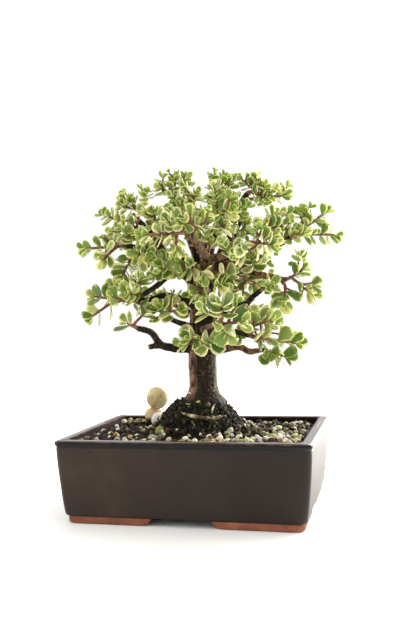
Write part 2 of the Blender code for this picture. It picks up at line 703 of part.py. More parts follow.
def limb_shape(name):
    """Route and radii of a limb, which thins evenly from the trunk to its end."""
    if name == "trunk":
        return [Vector(point) for point, _ in TRUNK], [radius for _, radius in TRUNK]
    points, (thick, thin) = LIMBS[name]
    last = len(points) - 1
    radii = [thick + (thin - thick) * i / last for i in range(last + 1)]
    return [Vector(point) for point in points], radii


def limb_sides(radii):
    """Thin limbs have fewer sides."""
    return LIMB_SIDES if radii[0] > THIN_LIMB else THIN_LIMB_SIDES


def run_lengths(route):
    """Length of the route up to each of its points."""
    lengths = [0.0]
    for start, end in zip(route, route[1:]):
        lengths.append(lengths[-1] + (end - start).length)
    return lengths


def on_route(route, radii, distance):
    """Place, direction and radius at a distance along a route."""
    lengths = run_lengths(route)
    distance = min(max(distance, 0.0), lengths[-1])
    index = 0
    while index < len(route) - 2 and lengths[index + 1] < distance:
        index += 1
    share = (distance - lengths[index]) / (lengths[index + 1] - lengths[index])
    place = route[index].lerp(route[index + 1], share)
    direction = (route[index + 1] - route[index]).normalized()
    return place, direction, radii[index] + (radii[index + 1] - radii[index]) * share


def nearest_distance(route, radii, target):
    """Distance along a route of its point nearest to a target."""
    total = run_lengths(route)[-1]
    steps = 60
    choices = [total * i / steps for i in range(steps + 1)]
    return min(choices, key=lambda run: (on_route(route, radii, run)[0] - target).length)


def bent_route(start, leave, end, points):
    """A stem's route: a short straight start in line with its spur, then a slight arch to the tip."""
    first = start + leave * STRAIGHT_START
    reach = (end - first).length
    route = [start, first]
    for i in range(1, points - 1):
        t = i / (points - 2)
        route.append(first.lerp(end, t) + leave * reach * ARCH * t * (1 - t))
    return route


def tapered(radii, count):
    """Radii that go evenly from the first value to the second."""
    return [radii[0] + (radii[1] - radii[0]) * i / (count - 1) for i in range(count)]


def leaf_cage():
    """A flat cone of few sides, which every leaf is shaped from: its rim is the leaf's outline."""
    bm = bmesh.new()
    bmesh.ops.create_cone(bm, cap_ends=True, segments=LEAF_SIDES, radius1=0.0, radius2=1.0, depth=1.0)
    rim = next(vertex for vertex in bm.verts if vertex.co.z > 0)
    turn = math.pi - math.atan2(rim.co.y, rim.co.x)
    bmesh.ops.rotate(bm, verts=bm.verts, matrix=Matrix.Rotation(turn, 3, "Z"))
    corners = [vertex.co.copy() for vertex in bm.verts]
    faces = []
    for face in bm.faces:
        loop = [vertex.index for vertex in face.verts]
        base = min(range(len(loop)), key=lambda place: corners[loop[place]].x)
        loop = loop[base + 1:] + loop[:base + 1]
        faces += [(loop[0], loop[i], loop[i + 1]) for i in range(1, len(loop) - 1)]
    bm.free()
    return corners, faces


def leaf_corners(cage, leaf, grow=0.0):
    """Shape a leaf: narrow at its base, round and widest past its middle, thick and bent."""
    base, direction, up, length, bend = leaf
    across = direction.cross(up).normalized()
    half_width = length * LEAF_WIDTH_SHARE / 2 + grow
    corners = []
    for corner in cage:
        if corner.z < 0:
            along = LEAF_THICKEST
            rise = -LEAF_THICKNESS - grow
        else:
            along = (corner.x + 1) / 2
            rise = grow
        rise += bend * length * along * (along - LEAF_THICKEST)
        side = corner.y * (LEAF_FLARE[0] + LEAF_FLARE[1] * along) * half_width
        run = along * (length + 2 * grow) - grow
        corners.append(base + direction * run + across * side + up * rise)
    return corners


def leaf_length(height):
    """The longest leaf at a height: large low in the crown, and small at its top."""
    low, high = CROWN_HEIGHTS
    share = min(max((height - low) / (high - low), 0.0), 1.0)
    return LEAF_LENGTHS[0] + (LEAF_LENGTHS[1] - LEAF_LENGTHS[0]) * share


def leaf_frames(route, radii, pairs, draw):
    """Opposite leaves in crossed pairs, each on a flat of the stem, from its tip to its root."""
    total = run_lengths(route)[-1]
    length = leaf_length(route[-1].z)
    skin = BVHTree.FromPolygons(*mesh_lists(tube_mesh("skin", route, radii, TWIG_SIDES)))
    start_turn = draw.uniform(0, math.pi)
    widest_step = min(LONGEST_INTERNODE, (total - BARE_FOOT) / pairs)
    distance = total - TIP_BUD
    frames = []
    for pair in range(pairs):
        if distance < BARE_FOOT:
            break
        place, along, radius = on_route(route, radii, distance)
        side = along.orthogonal().normalized()
        side.rotate(Quaternion(along, start_turn + pair * math.pi / 2))
        side = skin.ray_cast(place, side)[1]
        share = YOUNG_SHARES[pair] if pair < len(YOUNG_SHARES) else 1.0
        spread = math.radians(PAIR_ANGLES[min(pair, 2)] + draw.uniform(-ANGLE_DRAW, ANGLE_DRAW))
        for sign in (-1, 1):
            direction = (along * math.cos(spread) + side * sign * math.sin(spread)).normalized()
            up = (along - direction * along.dot(direction)).normalized()
            up = (up + Vector((0, 0, LIGHT_SEEKING))).normalized()
            up = (up - direction * up.dot(direction)).normalized()
            size = length * share * draw.uniform(*LEAF_LENGTH_DRAW)
            base = place + side * sign * radius * LEAF_SEAT
            frames.append((base, direction, up, size, draw.uniform(*BEND_DRAW)))
        step = max(INTERNODES[min(pair, 2)], widest_step * SPREADING[min(pair, 2)])
        distance -= step * draw.uniform(*SPACING_DRAW)
    return frames


def leaf_tries(leaf, draw):
    """The leaf as drawn, then turned, lifted or made smaller until it has room."""
    base, direction, up, length, bend = leaf
    yield leaf
    for attempt in range(1, LEAF_TRIES + 1):
        size = length * (1.0 - SHRINKING * attempt)
        axis = Vector((draw.uniform(-1, 1), draw.uniform(-1, 1), draw.uniform(-1, 1))).normalized()
        turn = Quaternion(axis, math.radians(TURNING * attempt))
        new_direction = direction.copy()
        new_direction.rotate(turn)
        new_up = up.copy()
        new_up.rotate(turn)
        yield base, new_direction, new_up, size, bend


class Obstacles:
    """What has been placed so far, as boxes and search trees, each with its owner's name."""

    def __init__(self):
        self.things = []

    def add(self, owner, corners, faces):
        tree = BVHTree.FromPolygons(corners, faces)
        low = [min(corner[axis] for corner in corners) for axis in range(3)]
        high = [max(corner[axis] for corner in corners) for axis in range(3)]
        self.things.append((owner, low, high, tree))

    def blocked(self, corners, faces, free_of=()):
        """Tell whether a new shape would cross anything but its own stem."""
        low = [min(corner[axis] for corner in corners) for axis in range(3)]
        high = [max(corner[axis] for corner in corners) for axis in range(3)]
        tree = None
        for owner, other_low, other_high, other in self.things:
            if owner in free_of:
                continue
            if any(low[a] > other_high[a] or high[a] < other_low[a] for a in range(3)):
                continue
            tree = tree or BVHTree.FromPolygons(corners, faces)
            if tree.overlap(other):
                return True
        return False


def mesh_lists(mesh):
    """A mesh as plain lists of corners and faces."""
    corners = [vertex.co.copy() for vertex in mesh.vertices]
    return corners, [tuple(face.vertices) for face in mesh.polygons]


def place_stem(obstacles, spray, limb, tip, draw):
    """Find a root on the limb from which a spur and a main stem reach the tip in free space."""
    route, radii = limb_shape(limb)
    total = run_lengths(route)[-1]
    near = nearest_distance(route, radii, tip)
    away = (on_route(route, radii, near)[0] - tip).length
    first = max(BARE_SHARE * total, near - FOLLOWING_LIMB * away) if near < total - 1 else total
    for attempt in range(STEM_TRIES):
        slide = (attempt + 1) // 2 * SLIDING_STEP * (-1 if attempt % 2 else 1)
        root, along, radius = on_route(route, radii, first + slide)
        wobble = Vector(draw.uniform(-WOBBLE, WOBBLE) * attempt for _ in range(3))
        leave = ((tip - root).normalized() + along * FOLLOWING_LIMB + wobble).normalized()
        slant = math.sqrt(max(0.0, 1 - leave.dot(along) ** 2))
        clear = radius / max(slant, LEAST_SLANT) if first + slide < total - 0.5 else 0.0
        spur_end = root + leave * (clear + SPUR_LENGTH)
        stem_start = spur_end + leave * STEM_GAP
        points = 3 if (tip - stem_start).length < LONG_STEM else 4
        stem = bent_route(stem_start, leave, tip, points)
        stem_radii = tapered(STEM_RADII, points)
        trial = mesh_lists(tube_mesh("trial", stem, stem_radii, TWIG_SIDES, STEM_ROOM))
        if obstacles.blocked(*trial, free_of=(spray + "_spur",)):
            continue
        spur = [root, spur_end]
        spur_lists = mesh_lists(tube_mesh("trial", spur, [SPUR_RADIUS, SPUR_RADIUS], TWIG_SIDES))
        if obstacles.blocked(*spur_lists, free_of=LIMB_NAMES):
            continue
        obstacles.add(spray + "_spur", *spur_lists)
        obstacles.add(spray, *mesh_lists(tube_mesh("trial", stem, stem_radii, TWIG_SIDES)))
        return spur, stem, stem_radii
    return None


def place_side_stem(obstacles, spray, main, tip, order, draw):
    """Find a free route for a side stem that grows out of the main one."""
    route, radii = main
    total = run_lengths(route)[-1]
    for attempt in range(SIDE_STEM_TRIES):
        share = SIDE_STEM_START + SIDE_STEM_STEP * order + SIDE_STEM_SLIDE * attempt
        start, along, _ = on_route(route, radii, total * share)
        leave = ((tip - start).normalized() + along * FOLLOWING_LIMB).normalized()
        wobble = Vector(draw.uniform(-TIP_WOBBLE, TIP_WOBBLE) * attempt for _ in range(3))
        points = 3 if (tip - start).length < LONG_STEM else 4
        side = bent_route(start, leave, tip + wobble, points)
        side_radii = tapered((STEM_RADII[0] * SIDE_STEM_SHARE, STEM_RADII[1]), points)
        lists = mesh_lists(tube_mesh("trial", side, side_radii, TWIG_SIDES, STEM_ROOM))
        if not obstacles.blocked(*lists, free_of=(spray,)):
            obstacles.add(spray, *mesh_lists(tube_mesh("trial", side, side_radii, TWIG_SIDES)))
            return side, side_radii
    return None


def plan_tree(obstacles):
    """Work out every spur, stem and leaf so that none crosses its neighbours."""
    draw = random.Random(SEED)
    for name in LIMB_NAMES:
        route, radii = limb_shape(name)
        obstacles.add(name, *mesh_lists(tube_mesh("limb", route, radii, limb_sides(radii))))
    cage, cage_faces = leaf_cage()
    spurs = []
    sprays = []
    for number, (limb, *tips) in enumerate(SPRAYS, start=1):
        name = f"spray_{number:02d}"
        placed = place_stem(obstacles, name, limb, Vector(tips[0][:3]), draw)
        if placed is None:
            print("no room for", name)
            continue
        spur, *main = placed
        spurs.append(spur)
        stems = [(*main, tips[0][3])]
        for order, tip in enumerate(tips[1:]):
            side = place_side_stem(obstacles, name, main, Vector(tip[:3]), order, draw)
            if side is None:
                print("no room for a side stem of", name)
            else:
                stems.append((*side, tip[3]))
        sprays.append({"name": name, "stems": stems, "leaves": []})
    for spray in sprays:
        for stem, radii, pairs in spray["stems"]:
            for frame in leaf_frames(stem, radii, pairs, draw):
                leaf = roomy_leaf(obstacles, spray["name"], frame, cage, cage_faces, draw)
                if leaf is not None:
                    spray["leaves"].append(leaf)
    return spurs, sprays


def roomy_leaf(obstacles, spray, frame, cage, cage_faces, draw):
    """Settle one leaf clear of everything but its own stem."""
    for leaf in leaf_tries(frame, draw):
        if not obstacles.blocked(leaf_corners(cage, leaf, LEAF_GAP), cage_faces, free_of=(spray,)):
            obstacles.add(spray + "_leaf", leaf_corners(cage, leaf), cage_faces)
            return leaf
    return None


# The tree's pieces


def make_wood(collection, cutters, spurs):
    """Trunk, limbs and spurs joined to one piece of wood."""
    route, radii = limb_shape("trunk")
    wood = new_object("wood", tube_mesh("wood", route, radii, TRUNK_SIDES), collection)
    pieces = []
    for name in LIMBS:
        route, radii = limb_shape(name)
        pieces.append(new_object(name, tube_mesh(name, route, radii, limb_sides(radii)), cutters))
    for spur in spurs:
        mesh = tube_mesh("spur", spur, [SPUR_RADIUS, SPUR_RADIUS], TWIG_SIDES)
        pieces.append(new_object("spur", mesh, cutters))
    combine(wood, pieces, "UNION")
    wood.data.transform(tree_matrix())
    wood.data.materials.append(finish_material("bark"))
    return wood


def make_spray(spray, collection, cutters):
    """The stems and leaves of one spray, joined."""
    stem, radii, _ = spray["stems"][0]
    name = spray["name"]
    thing = new_object(name, tube_mesh(name, stem, radii, TWIG_SIDES), collection)
    pieces = []
    for stem, radii, _ in spray["stems"][1:]:
        pieces.append(new_object("side_stem", tube_mesh("side_stem", stem, radii, TWIG_SIDES), cutters))
    cage, faces = leaf_cage()
    for leaf in spray["leaves"]:
        mesh = bpy.data.meshes.new("leaf")
        mesh.from_pydata(leaf_corners(cage, leaf), [], faces)
        bm = bmesh.new()
        bm.from_mesh(mesh)
        pieces.append(new_object("leaf", mesh_from(bm, "leaf"), cutters))
    if pieces:
        combine(thing, pieces, "UNION")
    thing.data.transform(tree_matrix())
    thing.data.materials.append(finish_material("succulent_leaf"))
    return thing


def main():
    """Build the whole part under one empty that stands where the pot's middle is."""
    clear_scene()
    collection = bpy.data.collections.new("variegated_dwarf_jade_bonsai")
    cutters = bpy.data.collections.new("cutters")
    bpy.context.scene.collection.children.link(collection)
    bpy.context.scene.collection.children.link(cutters)
    stand = bpy.data.objects.new("bonsai", None)
    stand.location = POT_PLACE
    collection.objects.link(stand)
    pieces = [make_pot(collection, cutters)]
    for name, side in (("drain_mesh_left", -1), ("drain_mesh_right", 1)):
        pieces.append(make_screen(name, side * DRAIN_OFFSET, collection, cutters))
    pieces += make_stones(collection)
    pieces.append(make_soil(collection, cutters))
    spurs, sprays = plan_tree(Obstacles())
    pieces.append(make_wood(collection, cutters, spurs))
    for spray in sprays:
        pieces.append(make_spray(spray, collection, cutters))
    for piece in pieces:
        piece.parent = stand
    total = sum(len(piece.data.polygons) for piece in pieces)
    leaves = sum(len(spray["leaves"]) for spray in sprays)
    print("pieces", len(pieces), "leaves", leaves, "faces", total)


main()
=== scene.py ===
# %% [markdown]
# # Variegated dwarf jade bonsai
# A small jade tree with cream-edged leaves, grown in a rectangular stoneware pot. The part's
# plain solids are loaded first. Each is then replaced by a finer piece in the same place: the
# glaze, the feet, the crumbly potting mix with its pellets, the stones, the bark, the young
# stems and some hundreds of fleshy leaves.

# %% Libraries and the frame
import json
import math
import random

import bmesh
import bpy
import numpy as np
from mathutils import Matrix, Quaternion, Vector
from mathutils.bvhtree import BVHTree

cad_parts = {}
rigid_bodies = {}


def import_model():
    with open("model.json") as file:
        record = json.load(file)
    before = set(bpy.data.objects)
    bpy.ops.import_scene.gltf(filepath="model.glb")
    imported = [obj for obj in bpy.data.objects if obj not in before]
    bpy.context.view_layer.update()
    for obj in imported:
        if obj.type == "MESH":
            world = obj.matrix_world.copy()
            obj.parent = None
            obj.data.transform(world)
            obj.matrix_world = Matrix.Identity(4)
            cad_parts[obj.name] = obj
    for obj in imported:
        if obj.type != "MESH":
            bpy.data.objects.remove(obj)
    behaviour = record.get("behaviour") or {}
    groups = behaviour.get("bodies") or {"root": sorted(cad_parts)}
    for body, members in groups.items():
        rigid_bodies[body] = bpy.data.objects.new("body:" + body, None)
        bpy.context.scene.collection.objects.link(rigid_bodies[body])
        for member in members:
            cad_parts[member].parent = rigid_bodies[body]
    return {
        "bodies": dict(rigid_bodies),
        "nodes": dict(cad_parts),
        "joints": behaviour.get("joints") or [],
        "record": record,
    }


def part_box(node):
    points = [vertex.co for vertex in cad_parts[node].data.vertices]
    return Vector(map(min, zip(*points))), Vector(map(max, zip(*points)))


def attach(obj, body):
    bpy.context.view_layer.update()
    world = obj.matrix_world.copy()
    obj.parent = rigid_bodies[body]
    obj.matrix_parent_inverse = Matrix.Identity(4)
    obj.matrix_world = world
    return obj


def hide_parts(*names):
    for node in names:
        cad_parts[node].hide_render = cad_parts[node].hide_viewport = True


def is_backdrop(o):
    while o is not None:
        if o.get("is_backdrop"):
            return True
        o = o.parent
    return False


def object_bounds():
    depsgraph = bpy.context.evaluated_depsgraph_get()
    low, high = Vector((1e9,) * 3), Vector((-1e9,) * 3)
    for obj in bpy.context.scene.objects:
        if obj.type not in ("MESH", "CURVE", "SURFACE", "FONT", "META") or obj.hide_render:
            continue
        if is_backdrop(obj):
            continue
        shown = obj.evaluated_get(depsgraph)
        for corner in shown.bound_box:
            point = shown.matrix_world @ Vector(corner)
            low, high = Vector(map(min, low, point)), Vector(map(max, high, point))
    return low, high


MM = 0.001

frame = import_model()
cad_box = [list(corner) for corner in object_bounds()]
pot_low, pot_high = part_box("pot")
POT_PLACE = np.array([(pot_low.x + pot_high.x) / 2, (pot_low.y + pot_high.y) / 2, 0.0])
print("nodes:", len(frame["nodes"]), " middle of the pot:", POT_PLACE.round(4))

# %% [markdown]
# ## Camera
# The picture was taken from a little above the pot's rim, turned to show a sliver of its right
# side. A pinhole camera is fixed by its place, three turns and one focal length. The focal
# length is given in pixels of the 624-pixel-high picture and turned into millimetres of a
# 36 mm sensor, because that is the number that a camera in Blender takes.

# %% Camera
PICTURE_HEIGHT = 624
FOCAL_PIXELS = 732
SENSOR = 36.0
CAMERA_PLACE = (0.1482, -0.5956, 0.162)
CAMERA_YAW = math.radians(14.24)
CAMERA_PITCH = math.radians(0.25)
CAMERA_ROLL = math.radians(-1.85)

lens = bpy.data.cameras.new("camera")
lens.sensor_width = SENSOR
lens.lens = FOCAL_PIXELS / PICTURE_HEIGHT * SENSOR
lens.clip_start = 0.01
camera = bpy.data.objects.new("camera", lens)
aim = Matrix.Rotation(CAMERA_YAW, 4, "Z") @ Matrix.Rotation(math.pi / 2 - CAMERA_PITCH, 4, "X")
camera.matrix_world = Matrix.Translation(CAMERA_PLACE) @ aim @ Matrix.Rotation(CAMERA_ROLL, 4, "Z")
bpy.context.scene.collection.objects.link(camera)
bpy.context.scene.camera = camera
print("lens", round(lens.lens, 2), "mm")

# %% [markdown]
# ## Helpers for materials
# Colours are written as the hex values that a painter would pick on a screen. Blender's
# shaders add light in linear values, so one function turns the one into the other. One more
# function adds a shader node, sets its properties and fills or links its sockets. Where a
# socket is given a node, it is linked to that node's main output.

# %% Colour and nodes
MIX_FACTOR, MIX_A, MIX_B, MIX_RESULT = 0, 6, 7, 2
OF_COLOURS = {"data_type": "RGBA"}
SMOOTH = {"interpolation_type": "SMOOTHSTEP"}


def linear(hex_colour):
    """Linear RGBA of an sRGB hex value: ((c + 0.055) / 1.055) ** 2.4, or c / 12.92 near black."""
    channels = np.array([int(hex_colour[i:i + 2], 16) for i in (1, 3, 5)]) / 255
    bright = ((channels + 0.055) / 1.055) ** 2.4
    return (*np.where(channels > 0.04045, bright, channels / 12.92), 1.0)


def wire(tree, node, sockets):
    """Fill each socket with a value or a hex colour, or link it to a socket or a node's main output."""
    for name, value in sockets.items():
        if isinstance(value, bpy.types.Node):
            value = value.outputs[MIX_RESULT if value.bl_idname == "ShaderNodeMix" else 0]
        if isinstance(value, bpy.types.NodeSocket):
            tree.links.new(value, node.inputs[name])
        else:
            node.inputs[name].default_value = linear(value) if isinstance(value, str) else value
    return node


def add(tree, kind, settings=None, sockets=None):
    """Add one node; a colour ramp takes its stops as (place, hex colour) pairs."""
    node = tree.nodes.new("ShaderNode" + kind)
    for name, value in (settings or {}).items():
        if name == "stops":
            for _ in value[2:]:
                node.color_ramp.elements.new(0.5)
            for element, (place, colour) in zip(node.color_ramp.elements, value):
                element.position = place
                element.color = linear(colour)
        else:
            setattr(node, name, value)
    return wire(tree, node, sockets or {})


def new_material(name):
    """A new material's node tree and its main shader."""
    material = bpy.data.materials.new(name)
    material.use_nodes = True
    return material, material.node_tree, material.node_tree.nodes["Principled BSDF"]


# %% [markdown]
# ## Helpers for shapes
# Nearly everything here is a stack of closed rings with a point at either end: a pot, a foot,
# a stone, a stem, a leaf. So one function makes any number of such stacks at once from an
# array of their points. Numbers beyond x, y and z ride along as attributes, which the
# materials read later. Roughness in the shapes comes from one noise function.

# %% Objects and attributes
def new_object(name, data):
    """Link a new object that shows a mesh, a curve or a light."""
    thing = bpy.data.objects.new(name, data)
    bpy.context.scene.collection.objects.link(thing)
    return thing


def evaluated_mesh(thing):
    """Read an object's mesh with its modifiers applied."""
    bpy.context.view_layer.update()
    graph = bpy.context.evaluated_depsgraph_get()
    return bpy.data.meshes.new_from_object(thing.evaluated_get(graph), depsgraph=graph)


def read_vectors(mesh, what):
    """A mesh's point places or normals as an array."""
    values = np.empty(len(mesh.vertices) * 3, np.float32)
    mesh.vertices.foreach_get(what, values)
    return values.reshape(-1, 3).astype(float)


def set_values(mesh, name, values):
    """Give each point of a mesh one number, which the materials read by its name."""
    attribute = mesh.attributes.new(name, "FLOAT", "POINT")
    attribute.data.foreach_set("value", np.ascontiguousarray(values, np.float32))


def add_piece(mesh, material, slot, *nodes):
    """Show a mesh as a piece: it rides on the one body and stands for its plain solids."""
    piece = new_object(mesh.name, mesh)
    mesh.materials.append(material)
    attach(piece, "root")
    if nodes:
        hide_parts(*nodes)


# %% Closed shapes from arrays of rings
def angles_round(count):
    """Angles spread evenly round a circle."""
    return np.arange(count) / count * 2 * math.pi


def flat_circle(count):
    """Points evenly round a level circle of radius 1: (cos t, sin t, 0)."""
    turn = angles_round(count)
    return np.stack([np.cos(turn), np.sin(turn), 0 * turn], -1)


def unit_sphere(rows, columns):
    """Rings of a ball of radius 1, from pole to pole: (sin p cos t, sin p sin t, cos p)."""
    polar = np.linspace(0, math.pi, rows + 2)[:, None, None]
    return flat_circle(columns) * np.sin(polar) + np.cos(polar) * np.array([0, 0, 1])


def with_values(rings, *values):
    """Rings with more values beside x, y and z, each a number or an array that fits."""
    shape = rings.shape[:-1] + (1,)
    return np.concatenate([rings] + [np.broadcast_to(value, shape) for value in values], -1)


def end_points(rings):
    """The middles of the first and the last ring of each stack."""
    return rings[:, [0, -1]].mean(axis=2)


def mesh_from_arrays(name, points, quads, triangles, channels=()):
    """A smooth mesh whose faces point outwards.

    The volume is a sixth of the sum of a . (b x c) over triangles. Where it comes out negative,
    every face is turned round. Columns of points after the third become named attributes.
    """
    corners = points[:, :3]
    halves = np.concatenate([quads[:, [0, 1, 2]], quads[:, [0, 2, 3]], triangles])
    a, b, c = (corners[halves[:, k]] for k in range(3))
    if np.einsum("ij,ij->", a, np.cross(b, c)) < 0:
        quads = quads[:, ::-1]
        triangles = triangles[:, ::-1]
    mesh = bpy.data.meshes.new(name)
    mesh.vertices.add(len(corners))
    mesh.vertices.foreach_set("co", corners.astype(np.float32).ravel())
    order = np.concatenate([quads.ravel(), triangles.ravel()]).astype(np.int32)
    starts = np.concatenate([np.arange(len(quads)) * 4, quads.size + np.arange(len(triangles)) * 3])
    mesh.loops.add(len(order))
    mesh.loops.foreach_set("vertex_index", order)
    mesh.polygons.add(len(starts))
    mesh.polygons.foreach_set("loop_start", starts.astype(np.int32))
    mesh.polygons.foreach_set("use_smooth", np.ones(len(starts), bool))
    mesh.update(calc_edges=True)
    for column, channel in enumerate(channels, start=3):
        set_values(mesh, channel, points[:, column])
    return mesh


def ringed_mesh(name, rings, ends, channels=()):
    """Closed stacks of rings, given as (copies, rows, columns, values) and (copies, 2, values).

    Corner (row, column) joins its neighbours in the next row and the next column, counted
    round, and each end point joins its ring in a fan of triangles.
    """
    copies, rows, columns, width = rings.shape
    row, column = np.meshgrid(np.arange(rows - 1), np.arange(columns), indexing="ij")
    after = (column + 1) % columns
    near = row * columns
    far = near + columns
    quads = np.stack([near + column, near + after, far + after, far + column], -1).reshape(-1, 4)
    step = np.arange(columns)
    turn = (step + 1) % columns
    pole = np.full(columns, rows * columns)
    last = (rows - 1) * columns
    first_fan = np.stack([pole, turn, step], -1)
    last_fan = np.stack([pole + 1, last + step, last + turn], -1)
    fans = np.concatenate([first_fan, last_fan])
    points = np.concatenate([rings.reshape(copies, -1, width), ends], axis=1)
    shift = (np.arange(copies) * points.shape[1])[:, None, None]
    quads = (quads + shift).reshape(-1, 4)
    fans = (fans + shift).reshape(-1, 3)
    return mesh_from_arrays(name, points.reshape(-1, width), quads, fans, channels)


# %% Lengths, unit vectors and noise
NOISE_VALUES = 4096
HASH_FACTORS = (73856093, 19349663, 83492791)


def path_lengths(points):
    """Length of a path up to each of its points."""
    return np.concatenate([[0], np.cumsum(np.linalg.norm(np.diff(points, axis=0), axis=1))])


def unit(vectors):
    """Vectors divided by their lengths."""
    return vectors / np.maximum(np.linalg.norm(vectors, axis=-1, keepdims=True), 1e-12)


def noise(points, cell, seed):
    """Smooth noise from -1 to 1: random values at the corners of cells, mixed by 3t^2 - 2t^3."""
    table = np.random.default_rng(seed).uniform(-1, 1, NOISE_VALUES)
    scaled = points / cell
    corner = np.floor(scaled).astype(np.int64)
    share = scaled - corner
    share = share * share * (3 - 2 * share)
    total = np.zeros(points.shape[:-1])
    for bits in range(8):
        step = np.array([bits & 1, bits >> 1 & 1, bits >> 2 & 1])
        weight = np.where(step == 1, share, 1 - share).prod(axis=-1)
        x, y, z = np.moveaxis((corner + step) * HASH_FACTORS, -1, 0)
        total += weight * table[(x ^ y ^ z) & (NOISE_VALUES - 1)]
    return total


def rough(points, cell, layers, seed):
    """Layers of noise, each half as wide and half as strong as the one before."""
    return sum(noise(points, cell / 2 ** k, seed + k) / 2 ** k for k in range(layers))


# %% [markdown]
# ## The pot
# The real pot is slab-built stoneware: straight walls that lean out a little, a rounded lip
# that stands proud by a millimetre, and a thin foot ring cut away in the middle of each side.
# It could be a box with bevels. A ring of constant wall, drawn in or out from level to level,
# gives the soft lip and the rounded corners exactly, and a little noise makes it hand-made.
# A column of the ring is known by four numbers: which corner it belongs to, and which way it
# faces. Its point is corner x (half size - radius) + facing x radius.

# %% Sizes of the pot
POT_LENGTH = pot_high.x - pot_low.x
POT_DEPTH = pot_high.y - pot_low.y
POT_HEIGHT = pot_high.z
LIP_PROUD = 1.0 * MM
CORNER_RADIUS = 5 * MM
RIM_WIDTH = 9 * MM
INNER_EDGE = 7.5 * MM
CAVITY_DRAFT = 6 * MM
FOOT_HEIGHT = 6 * MM
FOOT_WIDTH = 11 * MM
FOOT_INSET = 7.9 * MM
FLOOR_THICKNESS = 5 * MM
FLOOR_LEVEL = FOOT_HEIGHT + FLOOR_THICKNESS
LONG_NOTCH = 54 * MM
SHORT_NOTCH = 24 * MM
NOTCH_SLANT = 4 * MM
DRAIN_RADIUS = 7 * MM
DRAIN_OFFSET = 46 * MM
DRILL_SIDES = 32
DRILL_HEIGHTS = (2 * MM, 14 * MM)
OUTSIDE_STEP = 1.6 * MM
INSIDE_STEP = 2.5 * MM
UNDER_SHARES = np.array([0.15, 0.5, 0.85])
UNEVEN_DEPTH = 0.25 * MM
UNEVEN_WIDTH = 42 * MM
SIDE_DEPTH_SHARE = 0.45
# Inset of the outside at each height, from the foot ring's top up to the lip's outer edge
WALL_PROFILE = np.array(
    [
        (6.0, 8.6), (6.0, 7.4), (6.4, 6.7), (7.2, 6.1), (9.0, 5.6), (14.0, 4.8), (20.0, 4.05), (27.0, 3.3),
        (34.0, 2.6), (42.0, 1.9), (50.0, 1.3), (56.0, 0.95), (59.0, 0.95), (59.8, 0.8), (60.3, 0.35),
        (61.0, 0.05), (61.8, 0.0), (62.6, 0.1), (63.3, 0.45), (63.8, 1.1), (64.0, 2.0),
    ]
) * MM
# Inset of the inside at each height, from the lip's inner edge down to the floor
CAVITY_PROFILE = np.array(
    [
        (64.0, 7.2), (63.8, 8.1), (63.2, 8.8), (62.0, 9.1), (58.0, 9.6), (40.0, 11.6), (20.0, 14.0),
        (12.4, 15.0), (11.0, 17.0),
    ]
) * MM


# %% Rings round a rectangle
def corner_columns(arc_steps, long_steps, short_steps):
    """Corner signs and facing of each column, once round a rectangle with rounded corners."""
    rows = []
    signs = [(1, 1), (-1, 1), (-1, -1), (1, -1)]
    for quarter in range(4):
        angles = math.pi / 2 * (quarter + np.linspace(0, 1, arc_steps + 1))
        facing = np.stack([np.cos(angles), np.sin(angles)], -1)
        here = np.broadcast_to(np.array(signs[quarter], float), facing.shape)
        rows.append(np.hstack([here, facing]))
        steps = long_steps if quarter % 2 == 0 else short_steps
        share = (np.arange(1, steps) / steps)[:, None]
        between = np.array(signs[quarter]) * (1 - share) + np.array(signs[(quarter + 1) % 4]) * share
        rows.append(np.hstack([between, np.broadcast_to(facing[-1], between.shape)]))
    return np.vstack(rows)


def side_inset(inset):
    """The short sides' inset, carried over to the front and back, which lean out less."""
    return np.where(inset > LIP_PROUD, LIP_PROUD + (inset - LIP_PROUD) * SIDE_DEPTH_SHARE, inset)


def rectangle_rings(columns, half_x, half_y, radius, heights):
    """One ring for each height: corner sign x (half size - radius) + facing x radius."""
    half = np.stack([half_x, half_y], -1)[:, None, :]
    radius = np.asarray(radius)[:, None, None]
    flat = columns[None, :, :2] * (half - radius) + columns[None, :, 2:] * radius
    return with_values(flat, heights[:, None, None])


# %% The pot's body
POT_COLUMNS = corner_columns(8, 60, 42)


def finer(profile, step):
    """More points along a profile, evenly spread over its length."""
    lengths = path_lengths(profile)
    places = np.linspace(0, lengths[-1], int(lengths[-1] / step) + 1)
    places = np.union1d(places, lengths)
    return np.stack([np.interp(places, lengths, profile[:, k]) for k in range(2)], -1)


def pot_surface():
    """The underside, the outside, the lip and the inside, ring by ring, and a little uneven."""
    outside = finer(WALL_PROFILE, OUTSIDE_STEP)
    inside = finer(CAVITY_PROFILE, INSIDE_STEP)
    heights = np.concatenate([[FOOT_HEIGHT] * 3, outside[:, 0], inside[:, 0], [FLOOR_LEVEL] * 3])
    inset = np.concatenate([outside[:, 1], inside[:, 1]])
    half_x = POT_LENGTH / 2 - inset
    half_y = POT_DEPTH / 2 - np.concatenate([side_inset(outside[:, 1]), inside[:, 1]])
    over_shares = UNDER_SHARES[::-1]
    half_x = np.concatenate([half_x[0] * UNDER_SHARES, half_x, half_x[-1] * over_shares])
    half_y = np.concatenate([half_y[0] * UNDER_SHARES, half_y, half_y[-1] * over_shares])
    radius = np.minimum(CORNER_RADIUS, np.minimum(half_x, half_y) * 0.6)
    rings = rectangle_rings(POT_COLUMNS, half_x, half_y, radius, heights)
    inwards = -unit(rings * np.array([1, 1, 0]))
    uneven = UNEVEN_DEPTH * (rough(rings, UNEVEN_WIDTH, 2, 11) + 0.9)
    rings = rings + inwards * np.clip(uneven, 0, None)[..., None]
    ends = np.array([(0, 0, FOOT_HEIGHT), (0, 0, FLOOR_LEVEL)])
    return rings[None], ends[None]


